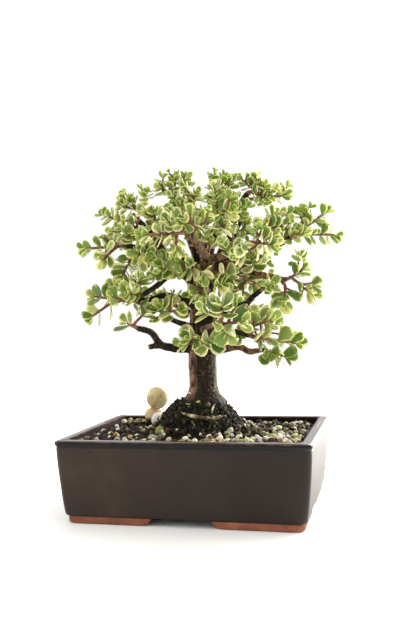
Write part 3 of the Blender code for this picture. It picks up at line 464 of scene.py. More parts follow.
def drilled(mesh, cutters):
    """The mesh with round holes cut by a Boolean, because a hole crosses the grid's lines."""
    name = mesh.name
    body = new_object(name, mesh)
    cutter = new_object("drill", cutters)
    modifier = body.modifiers.new("holes", "BOOLEAN")
    modifier.operation = "DIFFERENCE"
    modifier.object = cutter
    modifier.solver = "EXACT"
    cut = evaluated_mesh(body)
    for thing in (body, cutter):
        bpy.data.objects.remove(thing, do_unlink=True)
    for used in (mesh, cutters):
        bpy.data.meshes.remove(used)
    cut.name = name
    return cut


def drill_rings():
    """Two upright cylinders that reach from below the pot's floor to above it."""
    circle = flat_circle(DRILL_SIDES) * DRAIN_RADIUS
    low, high = (np.array([0, 0, height]) for height in DRILL_HEIGHTS)
    middles = np.array([(-DRAIN_OFFSET, 0, 0), (DRAIN_OFFSET, 0, 0)])[:, None, None]
    rings = np.stack([circle + low, circle + high])[None] + middles
    ends = np.stack([low, high])[None] + middles[:, 0]
    return rings, ends


pot_rings, pot_ends = pot_surface()
pot_mesh = ringed_mesh("pot_body", pot_rings + POT_PLACE, pot_ends + POT_PLACE)
holes, hole_ends = drill_rings()
pot_mesh = drilled(pot_mesh, ringed_mesh("drill", holes + POT_PLACE, hole_ends + POT_PLACE))
pot_points = read_vectors(pot_mesh, "co") - POT_PLACE
inner_sizes = np.array([POT_LENGTH / 2, POT_DEPTH / 2]) - INNER_EDGE
within = (np.abs(pot_points[:, :2]) < inner_sizes).all(axis=1)
set_values(pot_mesh, "inner", within & (pot_points[:, 2] > FLOOR_LEVEL - FLOOR_THICKNESS / 2))
print("pot faces:", len(pot_mesh.polygons))

# %% [markdown]
# ## The feet
# Four corner feet stand under the wall where the ring was cut away between them. They are
# bare clay, wiped clean before the firing so that the pot doesn't stick to the kiln shelf.
# Each foot is a rounded section carried round one corner. Its ends lean: the cut is wider at
# the floor than at the top.

# %% Four feet
FOOT_SECTION_STEPS = 28
FOOT_ARC_STEPS = 10
FOOT_LEG_STEPS = 12
FOOT_SQUARENESS = 0.45
FOOT_LAP = 0.6 * MM
FOOT_END_SHRINK = 0.86


def foot_section():
    """Inset and height round the section: a rounded rectangle, soft at the floor."""
    turn = angles_round(FOOT_SECTION_STEPS)
    across = np.sign(np.cos(turn)) * np.abs(np.cos(turn)) ** FOOT_SQUARENESS
    upright = np.sign(np.sin(turn)) * np.abs(np.sin(turn)) ** FOOT_SQUARENESS
    inset = FOOT_INSET + FOOT_WIDTH / 2 * (1 - across)
    height = (FOOT_HEIGHT + FOOT_LAP) / 2 * (1 + upright)
    return inset, height


def foot_rings(sign_x, sign_y):
    """Sections along one corner: down the long leg, round the corner, down the short leg."""
    inset, height = foot_section()
    half_x = POT_LENGTH / 2 - inset
    half_y = POT_DEPTH / 2 - side_inset(FOOT_INSET) - (inset - FOOT_INSET)
    radius = np.maximum(CORNER_RADIUS + 2 * MM - (inset - FOOT_INSET), 1 * MM)
    slant = NOTCH_SLANT * np.clip(height / FOOT_HEIGHT, 0, 1)
    start = LONG_NOTCH / 2 - slant
    finish = SHORT_NOTCH / 2 - slant
    share = np.linspace(0, 1, FOOT_LEG_STEPS)[:, None]
    angle = np.linspace(math.pi / 2, 0, FOOT_ARC_STEPS)[1:-1, None]
    long_leg = np.stack([start + (half_x - radius - start) * share, half_y + 0 * share], -1)
    arc = np.stack([half_x - radius + radius * np.cos(angle), half_y - radius + radius * np.sin(angle)], -1)
    short_leg = np.stack([half_x + 0 * share, half_y - radius - (half_y - radius - finish) * share], -1)
    rings = with_values(np.concatenate([long_leg, arc, short_leg]), height[None, :, None])
    middle = rings.mean(axis=1, keepdims=True)
    shrink = np.ones(len(rings))
    shrink[[0, -1]] = FOOT_END_SHRINK
    rings = middle + (rings - middle) * shrink[:, None, None]
    rings = rings * np.array([sign_x, sign_y, 1])
    rings[..., 2] = np.maximum(rings[..., 2], 0)
    return rings[None] + POT_PLACE


foot_meshes = []
for number, (sign_x, sign_y) in enumerate([(-1, -1), (1, -1), (1, 1), (-1, 1)], start=1):
    rings = foot_rings(sign_x, sign_y)
    foot_meshes.append(ringed_mesh(f"pot_foot_{number}", rings, end_points(rings)))
print("foot faces:", len(foot_meshes[0].polygons))

# %% [markdown]
# ## Glaze and bare clay
# The wall is a satin iron glaze, dark brown and nearly even, with faint cloudy patches. From
# left to right its colour darkens, a painted shade. The lip is glossy and almost black. Where
# the glaze ran off the lip's sharp edge it broke to a thin rusty line, and the flat rim is a
# glossy grey brown. The lip, the line and the rim follow the height, so the material reads
# Object coordinates and changes colour from one level to the next. Low on the wall, where it
# turns under to the feet, the colour is painted near black: a painted shade. The inside of the
# wall has no gloss, and near the left end of the front a bubble left a small pit, painted as a
# near-black spot: a painted shade.

# %% Iron-glazed stoneware
PIT_PLACE = np.array((-69.8, -68.6, 55.5)) * MM
PIT_RADIUS = 1.1 * MM


def glazed_stoneware():
    """Wheel-smooth stoneware under an iron glaze: satin on the wall and glossy on the lip."""
    material, tree, shader = new_material("iron_glazed_stoneware")
    place = add(tree, "TexCoord").outputs["Object"]
    parts = add(tree, "SeparateXYZ", sockets={"Vector": place})
    cloud = add(tree, "TexNoise", sockets={"Vector": place, "Scale": 38.0, "Detail": 5.0, "Roughness": 0.62})
    stops = [(0.30, "#261b15"), (0.52, "#2f221a"), (0.75, "#3a2b20")]
    wall = add(tree, "ValToRGB", {"stops": stops}, {"Fac": cloud})
    # Painted shade: from left to right the wall's colour goes over to a darker brown
    across = {"Value": parts.outputs["X"], "From Min": -60 * MM, "From Max": 60 * MM, "To Max": 0.8}
    shade_to_right = add(tree, "MapRange", sockets=across)
    wander = add(tree, "TexNoise", sockets={"Vector": place, "Scale": 90.0, "Detail": 2.0})
    level = parts.outputs["Z"]
    uneven = add(tree, "Math", {"operation": "MULTIPLY_ADD"}, {0: wander, 1: 1.6 * MM, 2: level})
    # How far a point lies above each level, from 0 at its foot to 1 at its top
    above = []
    for height, foot, top in (
        (uneven, 58.4, 60.6), (uneven, 63.6, 64.3), (level, 63.72, 63.95), (uneven, 7.0, 8.4),
    ):
        band = {"Value": height, "From Min": foot * MM, "From Max": top * MM}
        above.append(add(tree, "MapRange", SMOOTH, band))
    # The last band is the bottom of the wall, where it turns under to the feet: painted near black there, a
    # painted shade
    lip, edge, rim, foot_shade = above
    wear_and_shade = {"Value": wander, "From Min": 0.4, "From Max": 0.62, "To Min": 0.2}
    worn = add(tree, "MapRange", sockets=wear_and_shade)
    worn_edge = add(tree, "Math", {"operation": "MULTIPLY"}, {0: edge, 1: worn})
    # The pit is painted as a near-black spot, a painted shade in it
    from_pit = add(tree, "VectorMath", {"operation": "DISTANCE"}, {0: place, 1: PIT_PLACE + POT_PLACE})
    round_pit = {"Value": from_pit.outputs["Value"], "From Min": PIT_RADIUS / 2, "From Max": PIT_RADIUS}
    pit_shade = add(tree, "MapRange", SMOOTH, round_pit)
    colour = wall
    # The first colour here is the painted shade towards the right; the others are the lip, its rusty line
    # and the rim
    for share, glaze in ((shade_to_right, "#150d0a"), (lip, "#0d0908"), (worn_edge, "#4b3027"), (rim, "#3a2c27")):
        colour = add(tree, "Mix", OF_COLOURS, {MIX_FACTOR: share, MIX_A: colour, MIX_B: glaze})
    # Painted shade: near black at the bottom of the wall and in the pit
    for share, wear_and_shade in ((foot_shade, "#140e0c"), (pit_shade, "#070504")):
        colour = add(tree, "Mix", OF_COLOURS, {MIX_FACTOR: share, MIX_A: wear_and_shade, MIX_B: colour})
    speck = add(tree, "TexVoronoi", sockets={"Vector": place, "Scale": 260.0})
    pits = add(tree, "MapRange", sockets={"Value": speck, "From Max": 0.25})
    fine = add(tree, "TexNoise", sockets={"Vector": place, "Scale": 900.0, "Detail": 2.0})
    relief = add(tree, "Math", {"operation": "MULTIPLY_ADD"}, {0: fine, 1: 0.5, 2: pits})
    bump = add(tree, "Bump", sockets={"Height": relief, "Strength": 0.12, "Distance": 0.2 * MM})
    gloss = add(tree, "MapRange", sockets={"Value": lip, "To Min": 0.42, "To Max": 0.16})
    inner = add(tree, "Attribute", {"attribute_name": "inner"}).outputs["Fac"]
    gloss = add(tree, "Math", {"operation": "MAXIMUM"}, {0: gloss, 1: inner})
    mirror = add(tree, "MapRange", sockets={"Value": rim, "To Min": 0.25, "To Max": 0.8})
    wire(tree, shader, {"Base Color": colour, "Roughness": gloss, "Normal": bump,
                        "Specular IOR Level": mirror})
    return material


# %% Bare stoneware clay
def bare_clay():
    """Unglazed stoneware, fired to a warm brick brown, with a sandy grain of half a millimetre."""
    material, tree, shader = new_material("unglazed_fired_clay")
    place = add(tree, "TexCoord").outputs["Object"]
    grain = add(tree, "TexNoise", sockets={"Vector": place, "Scale": 700.0, "Detail": 3.0})
    stain = add(tree, "TexNoise", sockets={"Vector": place, "Scale": 70.0, "Detail": 4.0})
    both = add(tree, "Math", {"operation": "MULTIPLY_ADD"}, {0: grain, 1: 0.35, 2: stain})
    stops = [(0.45, "#5f3523"), (0.68, "#7b4530"), (0.9, "#91583e")]
    tone = add(tree, "ValToRGB", {"stops": stops}, {"Fac": both})
    bump = add(tree, "Bump", sockets={"Height": grain, "Strength": 0.35, "Distance": 0.15 * MM})
    wire(tree, shader, {"Base Color": tone, "Roughness": 0.85, "Normal": bump})
    return material


add_piece(pot_mesh, glazed_stoneware(), "glazed_stoneware", "pot")
clay = bare_clay()
for mesh in foot_meshes:
    add_piece(mesh, clay, "glazed_stoneware", "pot")

# %% [markdown]
# ## The potting mix
# The mix is black and damp, level with the rim at its edge and heaped up round the foot of
# the trunk and under the stones. The same formula as the solid's gives its height: a level, a
# broad hump, a low heap and crossed waves for crumbs. Finer noise goes on top. The rings here
# shrink towards the middle of the pot, so the ground and its hidden sides are one closed skin.

# %% Shape of the ground
SOIL_LEVEL = 59 * MM
SOIL_GAP = 0.3 * MM
TREE_PLACE = np.array((2.5, 4.0, 64.0)) * MM
MOUND_HEIGHT = 27 * MM
MOUND_RADIUS = 33.5 * MM
MOUND_SHIFT = -4.5 * MM
HEAP_PLACE = np.array((-50, 36)) * MM
HEAP_HEIGHT = 6 * MM
HEAP_RADIUS = 17 * MM
CRUMB_HEIGHT = 1.5 * MM
CRUMB_WAVES = 390
WAVE_BENDS = (90, 70)
BEND_DEPTH = 1.5
SOIL_ROWS = 76
SOIL_WALL_ROWS = 7
FINE_CRUMBS = 1.1 * MM
MOUND_CRUMBS = 1.3 * MM
MOUND_CRUMBS_END = 42 * MM
MOUND_CRUMBS_FADE = 12 * MM
EDGE_SHARE = 1 / 12
SOIL_COLUMNS = corner_columns(10, 112, 76)


def soil_height(x, y):
    """Level + hump round the trunk + heap under the stones + crossed waves."""
    distance = np.hypot(x - TREE_PLACE[0] - MOUND_SHIFT, y - TREE_PLACE[1])
    mound = MOUND_HEIGHT * np.exp(-((distance / MOUND_RADIUS) ** 4))
    from_heap = np.hypot(x - HEAP_PLACE[0], y - HEAP_PLACE[1])
    heap = HEAP_HEIGHT * np.exp(-((from_heap / HEAP_RADIUS) ** 2))
    across = np.sin(x * CRUMB_WAVES + BEND_DEPTH * np.sin(y * WAVE_BENDS[0]))
    along = np.sin(y * CRUMB_WAVES + BEND_DEPTH * np.sin(x * WAVE_BENDS[1]))
    return SOIL_LEVEL + mound + heap + CRUMB_HEIGHT * across * along


def soil_half_sizes(height):
    """Half length and half width at a height, a gap inside the wall."""
    top = POT_HEIGHT + 5 * MM
    share = (top - height) / (top - FLOOR_LEVEL)
    half_x = POT_LENGTH / 2 - RIM_WIDTH - CAVITY_DRAFT * share - SOIL_GAP
    half_y = POT_DEPTH / 2 - RIM_WIDTH - CAVITY_DRAFT * SIDE_DEPTH_SHARE * share - SOIL_GAP
    return half_x, half_y


def soil_surface():
    """Rings from the middle out to the wall, then down the wall to the floor."""
    half_x, half_y = soil_half_sizes(SOIL_LEVEL - CRUMB_HEIGHT)
    scale = np.linspace(0.02, 1, SOIL_ROWS)
    radius = np.minimum(CORNER_RADIUS, half_y * scale * 0.5)
    top = rectangle_rings(SOIL_COLUMNS, half_x * scale, half_y * scale, radius, np.zeros(SOIL_ROWS))
    from_trunk = np.hypot(top[..., 0] - TREE_PLACE[0], top[..., 1] - TREE_PLACE[1])
    heaped = np.clip((MOUND_CRUMBS_END - from_trunk) / MOUND_CRUMBS_FADE, 0, 1)
    level = soil_height(top[..., 0], top[..., 1]) + FINE_CRUMBS * rough(top, 5 * MM, 3, 21)
    level = level + MOUND_CRUMBS * heaped * rough(top, 8 * MM, 3, 22)
    edge = np.clip((1 - scale) / EDGE_SHARE, 0, 1)[:, None]
    top[..., 2] = (SOIL_LEVEL - CRUMB_HEIGHT) * (1 - edge) + level * edge
    heights = np.linspace(SOIL_LEVEL - CRUMB_HEIGHT, FLOOR_LEVEL + SOIL_GAP, SOIL_WALL_ROWS + 1)[1:]
    wall_x, wall_y = soil_half_sizes(heights)
    wall = rectangle_rings(SOIL_COLUMNS, wall_x, wall_y, np.full(SOIL_WALL_ROWS, CORNER_RADIUS), heights)
    rings = np.concatenate([top, wall])
    ends = np.stack([top[0].mean(axis=0), np.array([0, 0, heights[-1]])])
    return rings[None], ends[None]


soil_rings, soil_ends = soil_surface()
soil_mesh = ringed_mesh("potting_mix", soil_rings + POT_PLACE, soil_ends + POT_PLACE)
print("ground faces:", len(soil_mesh.polygons))


# %% Damp peaty mix
def damp_mix():
    """Peat and composted bark, wet: almost black, crumbly at 1 to 3 mm, with brown fibres."""
    material, tree, shader = new_material("damp_peaty_mix")
    place = add(tree, "TexCoord").outputs["Object"]
    lumps = add(tree, "TexNoise", sockets={"Vector": place, "Scale": 420.0, "Detail": 6.0, "Roughness": 0.7})
    stops = [(0.35, "#080605"), (0.52, "#17110e"), (0.62, "#2d201a"), (0.74, "#4a3423")]
    tone = add(tree, "ValToRGB", {"stops": stops}, {"Fac": lumps})
    grit = add(tree, "TexVoronoi", sockets={"Vector": place, "Scale": 620.0})
    relief = add(tree, "Math", {"operation": "ADD"}, {0: lumps, 1: grit})
    bump = add(tree, "Bump", sockets={"Height": relief, "Strength": 0.9, "Distance": 0.8 * MM})
    wire(tree, shader, {"Base Color": tone, "Roughness": 0.88, "Normal": bump, "Specular IOR Level": 0.2})
    return material


add_piece(soil_mesh, damp_mix(), "potting_mix", "soil")

# %% [markdown]
# ## What lies on the ground
# Pumice and clay pellets, white perlite, brick-coloured chips and scraps of bark lie on the
# mix, thickest along the front and to the right. Hundreds of them repeat, so each is a lump
# of a few dozen faces: rings from pole to pole, drawn out along three axes, turned at random
# and dented by noise. A chip is the same lump with its radii raised to a power, which squares
# it off.

# %% Lumps
LUMP_ROWS = 5
LUMP_COLUMNS = 8
# How often the dents change over a lump's radius, and how far apart the lumps read the noise
DENTS_PER_RADIUS = 1.3
NOISE_REACH = 90
TRIES_PER_LUMP = 16
LUMP_LENGTH_SHARE = (1.0, 1.35)
PELLET_COUNT = 14
PELLET_RADIUS = (3.0 * MM, 4.4 * MM)
PELLET_LENGTH_SHARE = (0.95, 1.25)
PELLET_HEIGHT_SHARE = (0.75, 0.95)
PELLET_SPACING = 0.95
PELLET_FROM_WALL = 1 * MM
THINNEST = 0.35
THICKER_TOWARDS = (0.6, -0.8)
CLEAR_OF_TRUNK = 36 * MM
CLEAR_OF_STONES = 16 * MM
SMALL_CLEAR_OF_STONES = 8 * MM
STONE_PLACES = np.array([(-53.5, 38), (-45, 25)]) * MM
SEED = 7


def large_pellets():
    """The places, radii and turns of the solid's pellets, drawn by the same rule and seed."""
    draw = random.Random(SEED)
    half_x, half_y = soil_half_sizes(SOIL_LEVEL)
    largest = PELLET_RADIUS[1]
    places = []
    while len(places) < PELLET_COUNT:
        x = draw.uniform(-1, 1) * (half_x - largest - PELLET_FROM_WALL)
        y = draw.uniform(-1, 1) * (half_y - largest - PELLET_FROM_WALL)
        radius = draw.uniform(*PELLET_RADIUS)
        thickness = THICKER_TOWARDS[0] * x / half_x + THICKER_TOWARDS[1] * y / half_y
        keep = THINNEST + (1 - THINNEST) * max(0.0, thickness)
        from_trunk = math.hypot(x - TREE_PLACE[0], y - TREE_PLACE[1])
        near_stone = any(math.hypot(x - sx, y - sy) < CLEAR_OF_STONES for sx, sy in STONE_PLACES)
        crowded = any(
            math.hypot(x - px, y - py) < (radius + pr) * PELLET_SPACING for px, py, pr in places
        )
        if draw.random() < keep and from_trunk > CLEAR_OF_TRUNK and not near_stone and not crowded:
            places.append((x, y, radius))
    lots = []
    for x, y, radius in places:
        length = radius * draw.uniform(*PELLET_LENGTH_SHARE)
        height = radius * draw.uniform(*PELLET_HEIGHT_SHARE)
        lots.append((x, y, length, radius, height, draw.uniform(0, math.pi)))
    return np.array(lots)


def scattered(count, sizes, flatness, seed, least=0.25, nearest=33.0, farthest=200.0):
    """Random places on the ground, kept more often towards the front and the right.

    Sizes are a lump's least and greatest radius, and nearest and farthest are distances from
    the trunk, all in millimetres. Least is the share that is kept at the back left.
    """
    draw = np.random.default_rng(seed)
    half_x, half_y = soil_half_sizes(SOIL_LEVEL)
    x, y = draw.uniform(-1, 1, (2, count * TRIES_PER_LUMP))
    keep = least + (1 - least) * np.clip(THICKER_TOWARDS[0] * x + THICKER_TOWARDS[1] * y, 0, 1)
    x = x * (half_x - sizes[1] * MM)
    y = y * (half_y - sizes[1] * MM)
    from_trunk = np.hypot(x - TREE_PLACE[0], y - TREE_PLACE[1]) / MM
    clear = (from_trunk > nearest) & (from_trunk < farthest)
    for stone in STONE_PLACES:
        clear &= np.hypot(x - stone[0], y - stone[1]) > SMALL_CLEAR_OF_STONES
    chosen = np.flatnonzero(clear & (draw.random(len(x)) < keep))[:count]
    size = draw.uniform(*sizes, len(chosen)) * MM
    length = size * draw.uniform(*LUMP_LENGTH_SHARE, len(chosen))
    turn = draw.uniform(0, 2 * math.pi, len(chosen))
    return np.stack([x[chosen], y[chosen], length, size, size * flatness, turn], -1)


def lumps(name, lots, power, dent, tilt, sunk, seed):
    """Lumps at (x, y, three radii, turn): sign(s) |s| ** power x radius along each axis, dented."""
    draw = np.random.default_rng(seed)
    count = len(lots)
    sphere = unit_sphere(LUMP_ROWS, LUMP_COLUMNS)
    shape = np.sign(sphere) * np.abs(sphere) ** power
    offsets = draw.uniform(0, NOISE_REACH, (count, 1, 1, 3))
    dents = 1 + dent * noise(sphere[None] * DENTS_PER_RADIUS + offsets, 1.0, seed)
    shape = shape[None] * dents[..., None] * lots[:, None, None, 2:5]
    angles = np.column_stack([draw.uniform(-tilt, tilt, (count, 2)), lots[:, 5]])
    for axis, angle in enumerate(angles.T):
        c, s = np.cos(angle)[:, None, None], np.sin(angle)[:, None, None]
        i, j = (axis + 1) % 3, (axis + 2) % 3
        first = c * shape[..., i] - s * shape[..., j]
        second = s * shape[..., i] + c * shape[..., j]
        shape[..., [i, j]] = np.stack([first, second], -1)
    x, y = lots[:, 0], lots[:, 1]
    place = np.stack([x, y, soil_height(x, y) + lots[:, 4] * sunk], -1) + POT_PLACE
    shape = with_values(shape + place[:, None, None], draw.uniform(0, 1, (count, 1, 1, 1)))
    return ringed_mesh(name, shape[:, 1:-1], end_points(shape), ("tint",))


def pebbly(name, grain_scale, relief, roughness, *stops):
    """A grainy material whose colour runs along a ramp from lump to lump and over each lump."""
    material, tree, shader = new_material(name)
    place = add(tree, "TexCoord").outputs["Object"]
    tint = add(tree, "Attribute", {"attribute_name": "tint"}).outputs["Fac"]
    sandy = {"Vector": place, "Scale": grain_scale, "Detail": 4.0, "Roughness": 0.65}
    grain = add(tree, "TexNoise", sockets=sandy)
    over_lump = {"Value": grain, "From Min": 0.3, "From Max": 0.7, "To Min": -0.28, "To Max": 0.28}
    spread = add(tree, "MapRange", sockets=over_lump)
    both = add(tree, "Math", {"operation": "ADD"}, {0: tint, 1: spread})
    tone = add(tree, "ValToRGB", {"stops": stops}, {"Fac": both})
    bump = add(tree, "Bump", sockets={"Height": grain, "Strength": relief, "Distance": 0.4 * MM})
    wire(tree, shader, {"Base Color": tone, "Roughness": roughness, "Normal": bump,
                        "Specular IOR Level": 0.25})
    return material


# %% Pellets, perlite, chips and bark
big = large_pellets()
pumice = pebbly("pumice_pellets", 900.0, 0.6, 0.85,
                (0.0, "#504a38"), (0.35, "#80795f"), (0.7, "#b3af95"), (1.0, "#dddbc8"))
mossy = pebbly("algae_green_pellets", 700.0, 0.5, 0.8,
               (0.0, "#4b4f26"), (0.4, "#7e8248"), (0.75, "#aaac72"), (1.0, "#cfd0a2"))
perlite = pebbly("white_perlite", 1200.0, 0.7, 0.9,
                 (0.0, "#b4b7b2"), (0.5, "#d8dad6"), (1.0, "#f2f3ef"))
brick = pebbly("fired_clay_chips", 800.0, 0.5, 0.85,
               (0.0, "#3c2619"), (0.45, "#664630"), (0.8, "#8f6a4a"), (1.0, "#b79871"))
bark_scraps = pebbly("composted_bark", 500.0, 0.8, 0.8,
                     (0.0, "#0a0705"), (0.5, "#20150f"), (0.85, "#443026"), (1.0, "#6a5040"))
peat = pebbly("peat_crumbs", 600.0, 0.9, 0.9,
              (0.0, "#060504"), (0.6, "#120f0a"), (0.85, "#272314"), (1.0, "#474322"))

# Name, places, power, dent, tilt, sunk share and material of each kind
ground_pieces = [
    ("pumice_large", big[0::2], 0.9, 0.3, 0.3, 0.2, pumice),
    ("mossy_large", big[1::2], 0.9, 0.3, 0.3, 0.2, mossy),
    ("pumice_small", scattered(200, (1.3, 2.9), 0.85, 31), 1.0, 0.2, 0.8, 0.4, pumice),
    ("mossy_small", scattered(80, (1.3, 2.8), 0.85, 32), 1.0, 0.2, 0.8, 0.4, mossy),
    ("perlite_bits", scattered(60, (0.9, 2.0), 0.8, 33), 0.6, 0.25, 1.0, 0.5, perlite),
    ("brick_chips", scattered(70, (1.1, 2.8), 0.6, 34, 0.5), 0.5, 0.35, 0.9, 0.4, brick),
    ("bark_bits", scattered(560, (0.9, 2.8), 0.45, 35, 1.0), 0.6, 0.4, 1.2, 0.4, bark_scraps),
    ("mound_crumbs", scattered(900, (0.6, 2.0), 0.8, 36, 1.0, 17.0, 40.0), 0.8, 0.45, 1.2, 0.5, peat),
]
for seed, (name, lots, power, dent, tilt, sunk, material) in enumerate(ground_pieces, start=41):
    mesh = lumps(name, lots, power, dent, tilt, sunk, seed)
    add_piece(mesh, material, "potting_mix", "soil")
    print(name, len(lots), "lumps,", len(mesh.polygons), "faces")

# %% [markdown]
# ## The stones
# A round stone lies on two flatter ones in the back left corner, where they stand against the
# white background. Water-worn stones are nearly ellipsoids: each is drawn out along three
# axes with a slow wave over it, and a fine ring grid with the smallest dents gives the skin.

# %% Three river stones
# The share of its plain solid's box that a stone fills, so that it stays clear of the others
STONE_FILL = 0.99
STONE_ROWS = 40
STONE_COLUMNS = 64
STONE_WAVE = 0.11


def stone_mesh(node, name, turn_degrees, seed):
    """An ellipsoid that fills the box of its plain solid, waved by a few hundredths."""
    low, high = (np.array(corner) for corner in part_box(node))
    ball = unit_sphere(STONE_ROWS, STONE_COLUMNS)
    shape = ball * (1 + STONE_WAVE * rough(ball + seed, 1.2, 3, seed))[..., None]
    shape = shape / np.abs(shape).reshape(-1, 3).max(axis=0)
    c, s = math.cos(math.radians(turn_degrees)), math.sin(math.radians(turn_degrees))
    shape = shape @ np.array([(c, s, 0), (-s, c, 0), (0, 0, 1)])
    rings = ((low + high) / 2 + shape * (high - low) / 2 * STONE_FILL)[None]
    return ringed_mesh(name, rings[:, 1:-1], end_points(rings))


def river_stone(name, speckle, shift, *stops):
    """A limestone or quartz pebble: milled smooth by water, with clouds of colour and fine pits."""
    material, tree, shader = new_material(name)
    place = add(tree, "TexCoord").outputs["Object"]
    moved = add(tree, "Mapping", sockets={"Vector": place, "Location": (shift, 0.0, 0.0)})
    clouds = {"Vector": moved, "Scale": 110.0, "Detail": 8.0, "Roughness": 0.62, "Distortion": 0.6}
    cloud = add(tree, "TexNoise", sockets=clouds)
    tone = add(tree, "ValToRGB", {"stops": stops}, {"Fac": cloud})
    grains = add(tree, "TexNoise", sockets={"Vector": place, "Scale": 900.0, "Detail": 3.0})
    dark_grains = {"Value": grains, "From Min": 0.56, "From Max": 0.75, "To Min": 0.0, "To Max": speckle}
    dark = add(tree, "MapRange", sockets=dark_grains)
    colour = add(tree, "Mix", OF_COLOURS, {MIX_FACTOR: dark, MIX_A: tone, MIX_B: "#8d7456"})
    bump = add(tree, "Bump", sockets={"Height": grains, "Strength": 0.3, "Distance": 0.2 * MM})
    wire(tree, shader, {"Base Color": colour, "Roughness": 0.62, "Normal": bump})
    return material


blush = river_stone("blush_limestone", 0.6, 0.03,
                    (0.34, "#a9866e"), (0.44, "#bca97e"), (0.54, "#c5b885"), (0.68, "#d6cba3"))
cream = river_stone("cream_limestone", 0.4, 0.0, (0.3, "#b0966e"), (0.5, "#c6b186"), (0.7, "#d6c69e"))
quartz = river_stone("white_quartz", 0.15, 0.0, (0.3, "#b6b6ae"), (0.5, "#d0d0c8"), (0.7, "#e4e4dc"))
add_piece(stone_mesh("round_stone", "round_river_stone", 0, 3), blush, "river_stone", "round_stone")
add_piece(stone_mesh("beige_stone", "beige_river_stone", 12, 5), cream, "river_stone", "beige_stone")
add_piece(stone_mesh("white_stone", "white_river_stone", -15, 8), quartz, "white_stone", "white_stone")
print("stone faces:", STONE_ROWS * STONE_COLUMNS)

# %% [markdown]
# ## The plan of the tree
# The trunk, each limb and the tip of each stem are laid out in millimetres, in the
# tree's own frame: X to the right in the picture, Y away and Z up from the foot of the trunk.
# The solids were grown from the same numbers by the same rules and the same seed, so that
# every stem and leaf made here lies where its plain solid does.

# %% Trunk and limbs
TREE_TURN = math.radians(14.24)
LIMB_SIDES = 8
THIN_LIMB_SIDES = 6
THIN_LIMB = 5.0
TWIG_SIDES = 4
TRUNK = (
    ((0, 0, -26), 8.0),
    ((0, 0, -12), 12.5),
    ((0, 0, 2), 16.5),
    ((0, 0, 12), 18.6),
    ((0, 0, 18), 19.0),
    ((0, 0, 22), 18.2),
    ((0, 0, 26), 15.0),
    ((0, 0, 31), 12.6),
    ((0, 0, 38), 11.5),
    ((0, 0, 60), 11.6),
    ((1, 0, 78), 11.4),
    ((2, 0, 92), 11.2),
    ((3, 0, 104), 10.6),
    ((4, -1, 113), 8.6),
)
LIMBS = {
    "low_left": (
        ((0, 0, 66), (-16, -4, 66), (-25, -6, 67), (-34, -8, 70), (-41, -10, 80), (-51, -16, 84)),
        (4.2, 2.4),
    ),
    "low_left_stub": (((-30, -7, 69), (-38, -9, 69), (-44, -10, 68)), (2.6, 2.2)),
    "low_right": (
        ((0, 0, 63), (16, -3, 64), (30, -5, 66), (38, -6, 62), (44, -6, 62), (51, -6, 63)),
        (3.6, 2.0),
    ),
    "second_right": (((2, 0, 84), (14, -14, 82), (24, -20, 80), (40, -24, 75)), (3.0, 1.9)),
    "right_mid": (
        ((2, 0, 86), (17, -10, 95), (30, -12, 99), (37, -12, 101), (42, -12, 106), (50, -12, 112)),
        (3.4, 2.2),
    ),
    "right_main": (
        ((4, 0, 106), (10, 6, 122), (16, 9, 133), (31, 4, 133), (40, 0, 129), (53, -7, 124),
         (70, -4, 120)),
        (6.0, 2.2),
    ),
    "right_grey": (((11, 8, 122), (19, 28, 123), (28, 35, 124), (38, 40, 125)), (2.4, 2.0)),
    "right_up": (
        ((14, 8, 130), (24, 9, 142), (37, 8, 147), (49, 6, 145), (61, 4, 148), (71, 0, 152),
         (81, -2, 158)),
        (4.2, 2.4),
    ),
    "top_right": (
        ((14, 8, 130), (20, 13, 147), (30, 14, 163), (37, 16, 178), (38, 17, 188), (43, 16, 196)),
        (4.6, 2.4),
    ),
    "front_main": (((3, -2, 108), (1, -13, 119), (4, -21, 128), (8, -32, 138)), (6.0, 4.6)),
    "front_right": (((8, -32, 138), (15, -38, 138), (23, -44, 140), (40, -54, 147)), (3.4, 2.6)),
    "front_left": (((8, -32, 137), (2, -43, 144), (-3, -51, 150), (-7, -58, 155)), (3.6, 2.4)),
    "top_mid": (((6, -22, 130), (10, -18, 146), (14, -12, 162), (17, -10, 174)), (3.4, 2.2)),
    "top_left": (((1, -8, 118), (-2, -6, 140), (-8, -4, 158), (-13, -2, 171), (-19, 0, 184)), (4.0, 2.2)),
    "left_main": (
        ((3, -1, 110), (-3, -6, 121), (-10, -8, 126), (-23, -6, 135), (-32, -4, 143), (-44, -2, 148),
         (-59, 0, 152)),
        (6.4, 2.4),
    ),
    "left_down": (((-19, -7, 132), (-29, -10, 124), (-35, -14, 118), (-47, -24, 110)), (3.2, 2.1)),
    "left_up": (((-26, -5, 138), (-32, -8, 152), (-40, -6, 164), (-49, -4, 172)), (3.6, 2.2)),
    "left_mid": (
        ((0, 0, 96), (-10, -8, 104), (-20, -12, 108), (-30, -14, 110), (-40, -16, 107), (-62, -12, 107)),
        (3.6, 2.0),
    ),
    "left_low_mid": (((0, 0, 80), (-11, -10, 85), (-19, -15, 88), (-27, -22, 92)), (2.8, 2.0)),
    "front_low": (((1, -2, 80), (6, -26, 83), (11, -44, 85), (15, -60, 88)), (3.6, 2.4)),
    "back_left": (((2, 2, 106), (-8, 22, 121), (-18, 40, 134), (-30, 58, 145)), (4.4, 2.2)),
    "back_right": (((4, 2, 100), (14, 24, 110), (26, 42, 120), (38, 60, 129)), (4.0, 2.2)),
    "back_up": (((6, 2, 110), (5, 18, 136), (4, 32, 158), (4, 46, 174)), (4.6, 2.2)),
    "back_low": (((0, 2, 84), (-5, 24, 89), (-12, 44, 96), (-22, 60, 101)), (3.6, 2.0)),
}
LIMB_NAMES = ("trunk", *LIMBS)

